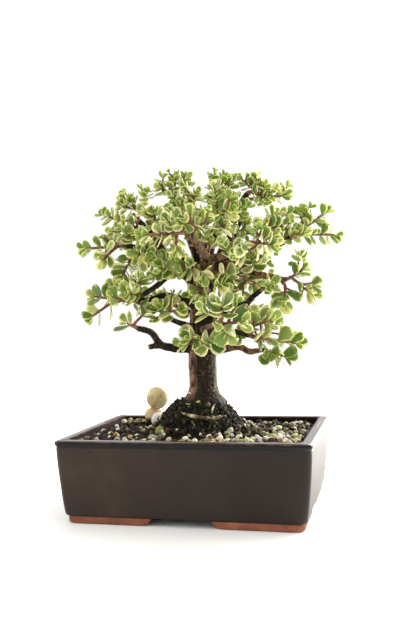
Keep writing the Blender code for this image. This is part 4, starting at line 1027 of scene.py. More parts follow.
# %% Sprays
# The limb that each springs from, and its stems' tips with their numbers of leaf pairs
SPRAYS = (
    ("low_left", (-60, -20, 89, 3), (-44, -14, 98, 2)),
    ("low_right", (69, -6, 56, 3), (55, -16, 60, 2)),
    ("low_right", (31, -14, 74, 2)),
    ("second_right", (76, -22, 68, 3), (61, -16, 84, 2)),
    ("second_right", (42, -32, 90, 3)),
    ("right_mid", (54, -18, 84, 3)),
    ("right_mid", (58, -16, 116, 3)),
    ("right_main", (86, -4, 128, 3), (94, 0, 106, 2)),
    ("right_main", (68, -14, 102, 3)),
    ("right_main", (42, -24, 137, 3)),
    ("right_grey", (46, 50, 118, 2), (33, 48, 112, 1)),
    ("front_right", (56, -66, 144, 3), (44, -64, 155, 2), (30, -62, 136, 2)),
    ("right_up", (108, 2, 176, 4), (86, 8, 178, 2)),
    ("right_up", (116, 6, 156, 4)),
    ("right_up", (79, -16, 158, 3)),
    ("right_up", (64, -4, 173, 3), (50, -28, 163, 2)),
    ("top_right", (57, -4, 188, 3)),
    ("top_right", (76, 16, 193, 3), (52, 10, 204, 2), (38, 18, 208, 2)),
    ("top_right", (34, -20, 180, 3)),
    ("top_mid", (28, -6, 205, 3), (14, -14, 205, 2)),
    ("top_mid", (15, -40, 185, 3), (26, -44, 174, 2)),
    ("top_left", (-18, 0, 208, 3), (-7, 10, 208, 2), (-30, -6, 198, 2)),
    ("top_left", (-1, -26, 190, 3), (-16, -40, 178, 2)),
    ("left_up", (-42, -2, 196, 3), (-55, 4, 192, 2), (-63, -6, 184, 2)),
    ("left_up", (-80, 4, 180, 4), (-71, -6, 164, 2)),
    ("left_up", (-34, -36, 174, 3)),
    ("left_main", (-96, 0, 151, 4), (-78, -16, 140, 2)),
    ("left_main", (-64, -6, 127, 3)),
    ("left_main", (-52, -26, 160, 3), (-40, -30, 142, 2)),
    ("front_left", (-42, -62, 154, 4), (-17, -60, 142, 2)),
    ("front_left", (8, -60, 164, 3), (-20, -44, 168, 2)),
    ("left_mid", (-86, -12, 111, 3), (-88, -16, 95, 2)),
    ("left_mid", (-72, -6, 119, 3)),
    ("left_mid", (-49, -32, 118, 3), (-40, -30, 100, 2)),
    ("left_down", (-56, -36, 112, 3), (-44, -36, 126, 2)),
    ("left_main", (-30, -36, 131, 3)),
    ("left_low_mid", (-32, -36, 100, 3), (-18, -36, 98, 2)),
    ("front_low", (16, -74, 100, 3), (3, -66, 96, 2)),
    ("front_low", (30, -72, 88, 3), (27, -58, 102, 2), (20, -70, 79, 2)),
    ("trunk", (7, -32, 71, 3), (-9, -34, 75, 2)),
    ("front_main", (-12, -40, 129, 3)),
    ("front_main", (18, -32, 116, 2), (-6, -32, 110, 2)),
    ("left_main", (-70, 24, 158, 2), (-50, 26, 136, 1)),
    ("right_up", (90, 34, 166, 2), (62, 36, 172, 2)),
    ("back_left", (-46, 72, 158, 2), (-20, 74, 150, 2)),
    ("back_left", (-52, 42, 142, 2), (-30, 38, 166, 1)),
    ("back_right", (54, 72, 138, 2), (30, 78, 128, 2)),
    ("back_right", (52, 38, 148, 2), (60, 50, 116, 1)),
    ("back_up", (2, 70, 184, 2), (-20, 50, 186, 2)),
    ("back_up", (28, 46, 190, 2), (16, 30, 202, 2)),
    ("back_low", (-36, 74, 108, 2), (-10, 80, 98, 1)),
    ("back_low", (-46, 46, 112, 2), (4, 54, 108, 1)),
)
SPUR_RADIUS = 2.1
SPUR_LENGTH = 2.2
STEM_RADII = (1.7, 1.0)
SIDE_STEM_SHARE = 0.85
LONG_STEM = 30
STRAIGHT_START = 3.0
ARCH = 0.35
STEM_GAP = 0.3
STEM_ROOM = 0.45
FOLLOWING_LIMB = 0.3
LEAST_SLANT = 0.35
BARE_SHARE = 0.2
STEM_TRIES = 40
LIMB_STEPS = 60
LIMB_END = 1.0
BARE_END = 0.5
SLIDING_STEP = 2.5
WOBBLE = 0.05
TIP_WOBBLE = 0.4
SIDE_STEM_START = 0.16
SIDE_STEM_STEP = 0.17
SIDE_STEM_SLIDE = 0.02
SIDE_STEM_TRIES = 24

# %% Leaves of the plan
LEAF_GAP = 0.45
LEAF_LENGTHS = (15.5, 10.5)
CROWN_HEIGHTS = (90, 190)
LEAF_LENGTH_DRAW = (0.86, 1.12)
LEAF_WIDTH_SHARE = 0.78
LEAF_FLARE = (0.70, 0.60)
LEAF_THICKNESS = 1.9
LEAF_SIDES = 5
LEAF_THICKEST = 0.55
LEAF_SEAT = 0.4
BEND_DRAW = (-0.05, 0.3)
YOUNG_SHARES = (0.66, 0.9)
INTERNODES = (3.2, 5.0, 6.4)
SPREADING = (0.7, 1.0, 1.2)
LONGEST_INTERNODE = 9.0
SPACING_DRAW = (0.9, 1.1)
TIP_BUD = 0.8
BARE_FOOT = 3.0
PAIR_ANGLES = (38, 54, 70)
ANGLE_DRAW = 8
LIGHT_SEEKING = 0.5
LEAF_TRIES = 8
SHRINKING = 0.045
TURNING = 8

# %% [markdown]
# ## Growing stems and leaves without a clash
# A leaf can be placed by hand, by scattering points on a sphere or by following how the plant
# grows. Dwarf jade bears its leaves in opposite pairs, each pair turned a right angle against
# the last, small and steep at the tip and large and spreading further down. Every stem and
# leaf is tried against a search tree of all that stands already. Where it would cross
# something, it is turned, lifted or made smaller.

# %% Scratch tubes
def tube_mesh(name, route, radii, sides, grow=0.0):
    """Sweep a round section along a route, with flat filled ends."""
    curve = bpy.data.curves.new(name, "CURVE")
    curve.dimensions = "3D"
    curve.bevel_depth = 1.0
    curve.bevel_resolution = sides // 2 - 2
    curve.use_fill_caps = True
    spline = curve.splines.new("POLY")
    spline.points.add(len(route) - 1)
    for point, place, radius in zip(spline.points, route, radii):
        point.co = (*place, 1.0)
        point.radius = radius + grow
    guide = new_object(name, curve)
    mesh = evaluated_mesh(guide)
    bpy.data.objects.remove(guide, do_unlink=True)
    bpy.data.curves.remove(curve)
    bm = bmesh.new()
    bm.from_mesh(mesh)
    bmesh.ops.remove_doubles(bm, verts=bm.verts, dist=0.001)
    bmesh.ops.recalc_face_normals(bm, faces=bm.faces)
    bpy.data.meshes.remove(mesh)
    mesh = bpy.data.meshes.new(name)
    bm.to_mesh(mesh)
    bm.free()
    return mesh


# %% Along a limb
def limb_shape(name):
    """Route and radii of a limb, which thins evenly from the trunk to its end."""
    if name == "trunk":
        return [Vector(point) for point, _ in TRUNK], [radius for _, radius in TRUNK]
    points, (thick, thin) = LIMBS[name]
    last = len(points) - 1
    radii = [thick + (thin - thick) * i / last for i in range(last + 1)]
    return [Vector(point) for point in points], radii


def limb_sides(radii):
    """Thin limbs have fewer sides."""
    return LIMB_SIDES if radii[0] > THIN_LIMB else THIN_LIMB_SIDES


def run_lengths(route):
    """Length of the route up to each of its points."""
    lengths = [0.0]
    for start, end in zip(route, route[1:]):
        lengths.append(lengths[-1] + (end - start).length)
    return lengths


def on_route(route, radii, distance):
    """Place, direction and radius at a distance along a route."""
    lengths = run_lengths(route)
    distance = min(max(distance, 0.0), lengths[-1])
    index = 0
    while index < len(route) - 2 and lengths[index + 1] < distance:
        index += 1
    share = (distance - lengths[index]) / (lengths[index + 1] - lengths[index])
    place = route[index].lerp(route[index + 1], share)
    direction = (route[index + 1] - route[index]).normalized()
    return place, direction, radii[index] + (radii[index + 1] - radii[index]) * share


def nearest_distance(route, radii, target):
    """Distance along a route of its point nearest to a target."""
    total = run_lengths(route)[-1]
    choices = [total * i / LIMB_STEPS for i in range(LIMB_STEPS + 1)]
    return min(choices, key=lambda run: (on_route(route, radii, run)[0] - target).length)


def bent_route(start, leave, end, points):
    """A stem's route: a short straight start in line with its spur, then a slight arch to the tip."""
    first = start + leave * STRAIGHT_START
    reach = (end - first).length
    route = [start, first]
    for i in range(1, points - 1):
        t = i / (points - 2)
        route.append(first.lerp(end, t) + leave * reach * ARCH * t * (1 - t))
    return route


def tapered(radii, count):
    """Radii that go evenly from the first value to the second."""
    return [radii[0] + (radii[1] - radii[0]) * i / (count - 1) for i in range(count)]


# %% Leaf places
def leaf_cage():
    """A flat cone of few sides, which every leaf is shaped from: its rim is the leaf's outline."""
    bm = bmesh.new()
    bmesh.ops.create_cone(bm, cap_ends=True, segments=LEAF_SIDES, radius1=0.0, radius2=1.0, depth=1.0)
    rim = next(vertex for vertex in bm.verts if vertex.co.z > 0)
    turn = math.pi - math.atan2(rim.co.y, rim.co.x)
    bmesh.ops.rotate(bm, verts=bm.verts, matrix=Matrix.Rotation(turn, 3, "Z"))
    corners = [vertex.co.copy() for vertex in bm.verts]
    faces = []
    for face in bm.faces:
        loop = [vertex.index for vertex in face.verts]
        base = min(range(len(loop)), key=lambda place: corners[loop[place]].x)
        loop = loop[base + 1:] + loop[:base + 1]
        faces += [(loop[0], loop[i], loop[i + 1]) for i in range(1, len(loop) - 1)]
    bm.free()
    return corners, faces


def leaf_corners(cage, leaf, grow=0.0):
    """Shape a leaf: narrow at its base, round and widest past its middle, thick and bent."""
    base, direction, up, length, bend = leaf
    across = direction.cross(up).normalized()
    half_width = length * LEAF_WIDTH_SHARE / 2 + grow
    corners = []
    for corner in cage:
        if corner.z < 0:
            along = LEAF_THICKEST
            rise = -LEAF_THICKNESS - grow
        else:
            along = (corner.x + 1) / 2
            rise = grow
        rise += bend * length * along * (along - LEAF_THICKEST)
        side = corner.y * (LEAF_FLARE[0] + LEAF_FLARE[1] * along) * half_width
        run = along * (length + 2 * grow) - grow
        corners.append(base + direction * run + across * side + up * rise)
    return corners


def leaf_length(height):
    """The longest leaf at a height: large low in the crown, and small at its top."""
    low, high = CROWN_HEIGHTS
    share = min(max((height - low) / (high - low), 0.0), 1.0)
    return LEAF_LENGTHS[0] + (LEAF_LENGTHS[1] - LEAF_LENGTHS[0]) * share


def mesh_lists(mesh):
    """A mesh as plain lists of corners and faces."""
    corners = [vertex.co.copy() for vertex in mesh.vertices]
    return corners, [tuple(face.vertices) for face in mesh.polygons]


def leaf_frames(route, radii, pairs, draw):
    """Opposite leaves in crossed pairs, each on a flat of the stem, from its tip to its root."""
    total = run_lengths(route)[-1]
    length = leaf_length(route[-1].z)
    skin = BVHTree.FromPolygons(*mesh_lists(tube_mesh("skin", route, radii, TWIG_SIDES)))
    start_turn = draw.uniform(0, math.pi)
    widest_step = min(LONGEST_INTERNODE, (total - BARE_FOOT) / pairs)
    distance = total - TIP_BUD
    frames = []
    for pair in range(pairs):
        if distance < BARE_FOOT:
            break
        place, along, radius = on_route(route, radii, distance)
        side = along.orthogonal().normalized()
        side.rotate(Quaternion(along, start_turn + pair * math.pi / 2))
        side = skin.ray_cast(place, side)[1]
        share = YOUNG_SHARES[pair] if pair < len(YOUNG_SHARES) else 1.0
        spread = math.radians(PAIR_ANGLES[min(pair, 2)] + draw.uniform(-ANGLE_DRAW, ANGLE_DRAW))
        for sign in (-1, 1):
            direction = (along * math.cos(spread) + side * sign * math.sin(spread)).normalized()
            up = (along - direction * along.dot(direction)).normalized()
            up = (up + Vector((0, 0, LIGHT_SEEKING))).normalized()
            up = (up - direction * up.dot(direction)).normalized()
            size = length * share * draw.uniform(*LEAF_LENGTH_DRAW)
            base = place + side * sign * radius * LEAF_SEAT
            frames.append((base, direction, up, size, draw.uniform(*BEND_DRAW)))
        step = max(INTERNODES[min(pair, 2)], widest_step * SPREADING[min(pair, 2)])
        distance -= step * draw.uniform(*SPACING_DRAW)
    return frames


def leaf_tries(leaf, draw):
    """The leaf as drawn, then turned, lifted or made smaller until it has room."""
    base, direction, up, length, bend = leaf
    yield leaf
    for attempt in range(1, LEAF_TRIES + 1):
        size = length * (1.0 - SHRINKING * attempt)
        axis = Vector((draw.uniform(-1, 1), draw.uniform(-1, 1), draw.uniform(-1, 1))).normalized()
        turn = Quaternion(axis, math.radians(TURNING * attempt))
        new_direction = direction.copy()
        new_direction.rotate(turn)
        new_up = up.copy()
        new_up.rotate(turn)
        yield base, new_direction, new_up, size, bend


# %% Room for a stem
class Obstacles:
    """What has been placed so far, as boxes and search trees, each with its owner's name."""

    def __init__(self):
        self.owners = np.empty(0, "U24")
        self.lows = np.empty((0, 3))
        self.highs = np.empty((0, 3))
        self.trees = []

    def add(self, owner, corners, faces):
        places = np.array(corners)
        self.owners = np.append(self.owners, owner)
        self.lows = np.vstack([self.lows, places.min(axis=0)])
        self.highs = np.vstack([self.highs, places.max(axis=0)])
        self.trees.append(BVHTree.FromPolygons(corners, faces))

    def blocked(self, corners, faces, free_of=()):
        """Tell whether a new shape would cross anything but its own stem."""
        places = np.array(corners)
        near = (self.highs >= places.min(axis=0)).all(axis=1)
        near &= (self.lows <= places.max(axis=0)).all(axis=1)
        near &= ~np.isin(self.owners, free_of)
        if not near.any():
            return False
        tree = BVHTree.FromPolygons(corners, faces)
        return any(tree.overlap(self.trees[index]) for index in np.flatnonzero(near))


def place_stem(obstacles, spray, limb, tip, draw):
    """Find a root on the limb from which a spur and a main stem reach the tip in free space."""
    route, radii = limb_shape(limb)
    total = run_lengths(route)[-1]
    near = nearest_distance(route, radii, tip)
    away = (on_route(route, radii, near)[0] - tip).length
    first = max(BARE_SHARE * total, near - FOLLOWING_LIMB * away) if near < total - LIMB_END else total
    for attempt in range(STEM_TRIES):
        slide = (attempt + 1) // 2 * SLIDING_STEP * (-1 if attempt % 2 else 1)
        root, along, radius = on_route(route, radii, first + slide)
        wobble = Vector(draw.uniform(-WOBBLE, WOBBLE) * attempt for _ in range(3))
        leave = ((tip - root).normalized() + along * FOLLOWING_LIMB + wobble).normalized()
        slant = math.sqrt(max(0.0, 1 - leave.dot(along) ** 2))
        clear = radius / max(slant, LEAST_SLANT) if first + slide < total - BARE_END else 0.0
        spur_end = root + leave * (clear + SPUR_LENGTH)
        stem_start = spur_end + leave * STEM_GAP
        points = 3 if (tip - stem_start).length < LONG_STEM else 4
        stem = bent_route(stem_start, leave, tip, points)
        stem_radii = tapered(STEM_RADII, points)
        trial = mesh_lists(tube_mesh("trial", stem, stem_radii, TWIG_SIDES, STEM_ROOM))
        if obstacles.blocked(*trial, free_of=(spray + "_spur",)):
            continue
        spur = [root, spur_end]
        spur_lists = mesh_lists(tube_mesh("trial", spur, [SPUR_RADIUS, SPUR_RADIUS], TWIG_SIDES))
        if obstacles.blocked(*spur_lists, free_of=LIMB_NAMES):
            continue
        obstacles.add(spray + "_spur", *spur_lists)
        obstacles.add(spray, *mesh_lists(tube_mesh("trial", stem, stem_radii, TWIG_SIDES)))
        return spur, stem, stem_radii
    return None


def place_side_stem(obstacles, spray, main, tip, order, draw):
    """Find a free route for a side stem that grows out of the main one."""
    route, radii = main
    total = run_lengths(route)[-1]
    for attempt in range(SIDE_STEM_TRIES):
        share = SIDE_STEM_START + SIDE_STEM_STEP * order + SIDE_STEM_SLIDE * attempt
        start, along, _ = on_route(route, radii, total * share)
        leave = ((tip - start).normalized() + along * FOLLOWING_LIMB).normalized()
        wobble = Vector(draw.uniform(-TIP_WOBBLE, TIP_WOBBLE) * attempt for _ in range(3))
        points = 3 if (tip - start).length < LONG_STEM else 4
        side = bent_route(start, leave, tip + wobble, points)
        side_radii = tapered((STEM_RADII[0] * SIDE_STEM_SHARE, STEM_RADII[1]), points)
        lists = mesh_lists(tube_mesh("trial", side, side_radii, TWIG_SIDES, STEM_ROOM))
        if not obstacles.blocked(*lists, free_of=(spray,)):
            obstacles.add(spray, *mesh_lists(tube_mesh("trial", side, side_radii, TWIG_SIDES)))
            return side, side_radii
    return None


# %% The whole plan
def roomy_leaf(obstacles, spray, frame, cage, cage_faces, draw):
    """Settle one leaf clear of everything but its own stem."""
    for leaf in leaf_tries(frame, draw):
        if not obstacles.blocked(leaf_corners(cage, leaf, LEAF_GAP), cage_faces, free_of=(spray,)):
            obstacles.add(spray + "_leaf", leaf_corners(cage, leaf), cage_faces)
            return leaf
    return None


def plan_tree(obstacles):
    """Work out every spur, stem and leaf so that none crosses its neighbours."""
    draw = random.Random(SEED)
    for name in LIMB_NAMES:
        route, radii = limb_shape(name)
        obstacles.add(name, *mesh_lists(tube_mesh("limb", route, radii, limb_sides(radii))))
    cage, cage_faces = leaf_cage()
    spurs = []
    sprays = []
    for number, (limb, *tips) in enumerate(SPRAYS, start=1):
        name = f"spray_{number:02d}"
        placed = place_stem(obstacles, name, limb, Vector(tips[0][:3]), draw)
        if placed is None:
            print("no room for", name)
            continue
        spur, *main = placed
        spurs.append(spur)
        stems = [(*main, tips[0][3])]
        for order, tip in enumerate(tips[1:]):
            side = place_side_stem(obstacles, name, main, Vector(tip[:3]), order, draw)
            if side is None:
                print("no room for a side stem of", name)
            else:
                stems.append((*side, tip[3]))
        sprays.append({"name": name, "stems": stems, "leaves": []})
    for spray in sprays:
        for stem, radii, pairs in spray["stems"]:
            for frame in leaf_frames(stem, radii, pairs, draw):
                leaf = roomy_leaf(obstacles, spray["name"], frame, cage, cage_faces, draw)
                if leaf is not None:
                    spray["leaves"].append(leaf)
    return spurs, sprays


obstacles = Obstacles()
spurs, sprays = plan_tree(obstacles)
print("sprays:", len(sprays), " planned leaves:", sum(len(spray["leaves"]) for spray in sprays))

# %% [markdown]
# ## Bark and branches
# A jade's trunk is soft and swollen, and each limb leaves it in a smooth collar. Tubes that
# only cross one another show a hard crease there. So the trunk, the limbs and the short spurs
# are made as tubes along smooth curves. A voxel remesh then melts them into one skin, a few
# rounds of smoothing fill the creases, and noise presses bark fissures and lumps into it.

# %% Tubes along smooth routes
def to_part(points):
    """From the tree's millimetres to the part's frame: turned about Z, shrunk and moved."""
    c, s = math.cos(TREE_TURN), math.sin(TREE_TURN)
    return points @ np.array([(c, s, 0), (-s, c, 0), (0, 0, 1)]) * MM + TREE_PLACE + POT_PLACE


def smooth_route(points, radii, steps):
    """A Catmull-Rom spline through the points, with the radius as a fourth value.

    Between b and c, with a before and d after: (2b + (c - a)t + (2a - 5b + 4c - d)t^2
    + (3b - a - 3c + d)t^3) / 2.
    """
    known = np.column_stack([np.array(points, float), radii])
    known = np.vstack([2 * known[0] - known[1], known, 2 * known[-1] - known[-2]])
    t = (np.arange(steps) / steps)[None, :, None]
    a, b, c, d = (known[k:len(known) - 3 + k, None] for k in range(4))
    bend = 2 * a - 5 * b + 4 * c - d
    twist = 3 * b - a - 3 * c + d
    curve = (2 * b + (c - a) * t + bend * t ** 2 + twist * t ** 3) / 2
    return np.vstack([curve.reshape(-1, 4), known[-2]])


def tube_rings(route, sides):
    """Circles across a route: centre + radius x (cos t x side + sin t x over)."""
    place = route[:, :3]
    along = unit(np.gradient(place, axis=0))
    steady = np.eye(3)[np.argmin(np.abs(place[-1] - place[0]))]
    side = unit(np.cross(along, steady))
    over = np.cross(along, side)
    turn = angles_round(sides)[None, :, None]
    circle = np.cos(turn) * side[:, None] + np.sin(turn) * over[:, None]
    return place[:, None] + circle * route[:, None, 3:4]


def joined(name, meshes):
    """One mesh of several, each left as a closed skin of its own."""
    bm = bmesh.new()
    for mesh in meshes:
        bm.from_mesh(mesh)
        bpy.data.meshes.remove(mesh)
    mesh = bpy.data.meshes.new(name)
    bm.to_mesh(mesh)
    bm.free()
    return mesh


# %% One skin of wood
VOXEL = 0.76
WOOD_SMOOTHING = 4
LIMB_STEPS_PER_POINT = 8
SPUR_STEPS = 4
SMOOTH_TRUNK_SIDES = 40
SMOOTH_LIMB_SIDES = 20
SMOOTH_SPUR_SIDES = 12
SPUR_TAPER = (1.05, 0.9)
# The skin's points are searched in this many lots, to spare memory
PARTS_OF_SEARCH = 60


def wood_tubes():
    """A tube for the trunk, each limb and each spur, and samples of their middles."""
    meshes = []
    samples = []
    for index, name in enumerate(LIMB_NAMES):
        points, radii = limb_shape(name)
        route = smooth_route(points, radii, LIMB_STEPS_PER_POINT)
        rings = tube_rings(route, SMOOTH_TRUNK_SIDES if name == "trunk" else SMOOTH_LIMB_SIDES)
        meshes.append(ringed_mesh(name, rings[None], route[None, [0, -1], :3]))
        samples.append(np.column_stack([route, np.full(len(route), index)]))
    for spur in spurs:
        route = smooth_route(spur, [SPUR_RADIUS * share for share in SPUR_TAPER], SPUR_STEPS)
        rings = tube_rings(route, SMOOTH_SPUR_SIDES)
        meshes.append(ringed_mesh("spur", rings[None], route[None, [0, -1], :3]))
        samples.append(np.column_stack([route, np.full(len(route), len(LIMB_NAMES))]))
    return meshes, np.vstack(samples)


def melted(mesh):
    """The voxel remesh of crossing tubes, smoothed."""
    thing = new_object("melt", mesh)
    remesh = thing.modifiers.new("one skin", "REMESH")
    remesh.mode = "VOXEL"
    remesh.voxel_size = VOXEL
    remesh.use_smooth_shade = True
    smooth = thing.modifiers.new("collars", "SMOOTH")
    smooth.factor = 0.5
    smooth.iterations = WOOD_SMOOTHING
    result = evaluated_mesh(thing)
    bpy.data.objects.remove(thing, do_unlink=True)
    return result


def nearest_sample(points, samples):
    """The sample whose tube each point lies on: the least distance less the tube's radius."""
    chosen = []
    for some in np.array_split(points, PARTS_OF_SEARCH):
        gap = np.linalg.norm(some[:, None] - samples[None, :, :3], axis=-1) - samples[None, :, 3]
        chosen.append(gap.argmin(axis=1))
    return np.concatenate(chosen)


tubes, wood_samples = wood_tubes()
wood_mesh = melted(joined("crossing_tubes", tubes))
wood_mesh.name = "wood_skin"
print("wood faces:", len(wood_mesh.polygons))

# %% [markdown]
# ## Fissures, lumps and a knot
# On the trunk the bark splits lengthways, so the noise there is two or three times as tall as
# wide. On the limbs it wrinkles. The buried foot of the trunk is a lumpy mass of old roots. At
# the front sits a knot where a branch was once cut: a raised ring with a hollow in its middle.

# %% Pressing the bark in
# Where the knot is, in the tree's millimetres, and the height and width of its ring and hollow
KNOT_PLACE = np.array((-3.5, -10.9, 46.0))
KNOT_HALF_SIZES = np.array((4.6, 4.0, 2.5))
KNOT_RING = (0.9, 0.28)
KNOT_HOLLOW = (1.7, 0.62)
FULL_GIRTH = 11
LEAST_GIRTH = 0.12
FISSURE_HEIGHT = 0.30
FURROW_DEPTH = 0.38
WRINKLE_HEIGHT = 0.16
BARK_SWELL = 0.15
ROOT_LUMP_HEIGHT = 1.3
ROOT_SINK = 0.2
ROOT_TOP = 32
ROOT_FADE = 14
CUT_REACH = 1.02
TAN_LIMBS = ("front_main", "front_right", "front_left", "right_main", "low_right")
GREY_LIMB = "right_grey"
CUT_LIMBS = (
    "front_right", "low_left_stub", "second_right", "right_mid", "top_right", "left_up", "front_low",
)
# The side where grey patches gather: lichen, and painted light from the right
LICHEN_AND_LIGHT_SIDE = (0.9, 0.1, 0.15)
# The side whose faces the bark's colour paints lighter and warmer: painted light
LEFT_LIGHT_SIDE = (-0.95, -0.1, 0.1)


def press_bark(mesh, samples):
    """Move each point along its normal by noise that suits the tube that it lies on.

    The knot lifts by h exp(-((r - 1) / w)^2) in a ring and sinks by d exp(-(r / v)^2) in its
    middle, where r is the distance from its place in shares of its half sizes.
    """
    points = read_vectors(mesh, "co")
    normals = read_vectors(mesh, "normal")
    nearest = samples[nearest_sample(points, samples)]
    girth = np.clip(nearest[:, 3] / FULL_GIRTH, LEAST_GIRTH, 1)
    fissures = rough(points / np.array([1, 1, 2.2]), 2.1, 3, 51)
    furrows = -np.abs(rough(points / np.array([1, 1, 3.0]), 3.0, 2, 52))
    wrinkles = rough(points, 1.9, 2, 53)
    lift = (FISSURE_HEIGHT * fissures + FURROW_DEPTH * furrows + BARK_SWELL) * girth ** 0.6
    lift = lift + WRINKLE_HEIGHT * wrinkles * (1 - 0.5 * girth)
    low = np.clip((ROOT_TOP - points[:, 2]) / ROOT_FADE, 0, 1)
    root = low * low * (3 - 2 * low)
    lift = lift + root * (ROOT_LUMP_HEIGHT * rough(points, 7.0, 3, 54) - ROOT_SINK)
    ring = np.linalg.norm((points - KNOT_PLACE) / KNOT_HALF_SIZES, axis=1)
    lift = lift + KNOT_RING[0] * np.exp(-((ring - 1) / KNOT_RING[1]) ** 2)
    lift = lift - KNOT_HOLLOW[0] * np.exp(-(ring / KNOT_HOLLOW[1]) ** 2)
    limbs = np.array((*LIMB_NAMES, "spur"))[nearest[:, 4].astype(int)]
    cut_limbs = [limb_shape(name) for name in CUT_LIMBS]
    ends = np.array([route[-1] for route, _ in cut_limbs])
    end_radii = np.array([radii[-1] for _, radii in cut_limbs])
    from_end = np.linalg.norm(points[:, None] - ends[None], axis=-1) / end_radii
    attributes = {
        # The furrows' depth, by which the bark's colour paints the fissures near black: a painted shade
        "furrow": -furrows * 1.2,
        "root": root,
        "tan": np.isin(limbs, TAN_LIMBS),
        "grey": limbs == GREY_LIMB,
        "young": limbs == "spur",
        "cut": from_end.min(axis=1) < CUT_REACH,
        "right": normals @ unit(np.array(LICHEN_AND_LIGHT_SIDE)),
        "left": normals @ unit(np.array(LEFT_LIGHT_SIDE)),
    }
    moved = points + normals * lift[:, None]
    mesh.vertices.foreach_set("co", to_part(moved).astype(np.float32).ravel())
    for name, values in attributes.items():
        set_values(mesh, name, np.clip(np.asarray(values, float), 0, 1))
    mesh.update()


press_bark(wood_mesh, wood_samples)


# %% Weathered jade bark
def jade_bark():
    """Corky succulent bark: brown and fissured, black at the foot, with painted shade in the
    fissures and the knot's hollow, painted light on the left-facing side, and grey lichen with
    painted light on the right-facing side.
    """
    material, tree, shader = new_material("weathered_jade_bark")
    place = add(tree, "TexCoord").outputs["Object"]
    value = {}
    for name in ("furrow", "root", "tan", "grey", "young", "cut", "right", "left"):
        value[name] = add(tree, "Attribute", {"attribute_name": name}).outputs["Fac"]
    tall = add(tree, "Mapping", sockets={"Vector": place, "Scale": (1.0, 1.0, 0.45)})
    noises = []
    for where, scale, detail, harshness in (
        (tall, 460.0, 8.0, 0.78), (place, 620.0, 4.0, 0.7), (place, 300.0, 5.0, 0.7),
    ):
        pattern = {"Vector": where, "Scale": scale, "Detail": detail, "Roughness": harshness}
        noises.append(add(tree, "TexNoise", sockets=pattern))
    streak, patches, clumps = noises
    tones = []
    for pattern, stops in (
        (streak, [(0.28, "#0f0a07"), (0.45, "#201610"), (0.58, "#36281c"), (0.75, "#5f4b38")]),
        (streak, [(0.28, "#4a3226"), (0.5, "#8e6c58"), (0.72, "#bd9d86")]),
        (streak, [(0.28, "#47301f"), (0.5, "#7a5a3f"), (0.72, "#a58563")]),
        (streak, [(0.28, "#3c211a"), (0.5, "#653c2f"), (0.72, "#8a5a46")]),
        (streak, [(0.28, "#45423c"), (0.5, "#716d66"), (0.72, "#a29e95")]),
        (clumps, [(0.34, "#060504"), (0.52, "#100e09"), (0.62, "#222011"), (0.78, "#484624")]),
    ):
        tones.append(add(tree, "ValToRGB", {"stops": stops}, {"Fac": pattern}))
    dark, warm, tan, red, ash, grime = tones
    # Painted light: faces towards the left get a lighter, warmer brown
    facing_left = {"Value": value["left"], "From Min": 0.4, "From Max": 0.9, "To Max": 1.0}
    edge = add(tree, "MapRange", SMOOTH, facing_left)
    # Grey patches, more of them on faces towards the right: lichen, and painted light
    lichen_and_light = add(tree, "Math", {"operation": "MULTIPLY_ADD"}, {0: value["right"], 1: 0.2, 2: patches})
    lichen_and_light_band = {"Value": lichen_and_light, "From Min": 0.60, "From Max": 0.70, "To Max": 0.8}
    lichen_and_light_share = add(tree, "MapRange", SMOOTH, lichen_and_light_band)
    # The knot: the distance from its middle in shares of its half sizes, made uneven by the clumps
    apart = add(tree, "VectorMath", {"operation": "SUBTRACT"}, {0: place, 1: to_part(KNOT_PLACE)})
    turned = add(tree, "VectorRotate", {"rotation_type": "Z_AXIS"}, {"Vector": apart, "Angle": -TREE_TURN})
    shares = add(tree, "VectorMath", {"operation": "DIVIDE"}, {0: turned, 1: KNOT_HALF_SIZES * MM})
    ring = add(tree, "VectorMath", {"operation": "LENGTH"}, {0: shares}).outputs["Value"]
    ring = add(tree, "Math", {"operation": "MULTIPLY_ADD"}, {0: clumps, 1: 1.8, 2: ring})
    ring = add(tree, "Math", {"operation": "SUBTRACT"}, {0: ring, 1: 0.9})
    # The knot's colour: near black in its hollow, a painted shade, and paler on its raised ring
    stops = [(0.34, "#060403"), (0.58, "#20160f"), (0.8, "#5a4530"), (0.95, "#3b2c1e")]
    eye = add(tree, "ValToRGB", {"stops": stops}, {"Fac": ring})
    eyelid = add(tree, "MapRange", SMOOTH, {"Value": ring, "From Min": 1.2, "From Max": 0.92})
    colour = dark
    # Painted shade in the fissures and the knot's hollow, and painted light on the sides, go in among the
    # bark's own colours
    for share, above in (
        (edge, warm), (value["tan"], tan), (value["young"], red), (value["grey"], ash),
        (value["furrow"], "#120c09"), (lichen_and_light_share, "#665f4b"), (value["root"], grime), (eyelid, eye),
        (value["cut"], "#a07c54"),
    ):
        colour = add(tree, "Mix", OF_COLOURS, {MIX_FACTOR: share, MIX_A: colour, MIX_B: above})
    relief = add(tree, "Math", {"operation": "ADD"}, {0: streak, 1: clumps})
    bump = add(tree, "Bump", sockets={"Height": relief, "Strength": 0.7, "Distance": 0.5 * MM})
    wire(tree, shader, {"Base Color": colour, "Roughness": 0.8, "Normal": bump, "Specular IOR Level": 0.2})
    return material


add_piece(wood_mesh, jade_bark(), "bark", "wood")

# %% [markdown]
# ## Old roots, moss and weeds at the foot
# In front of the trunk a pale old root runs along the mound like a step, a grey one loops over
# it and a few thin dead ones trail down. These are tubes through places read from the picture.
# Moss is a few hundred blades, each a tapering stack of three-sided rings, thick where a slow
# noise is high. Rootlets wander over the ground: their heading turns evenly, and their height
# is the ground's.

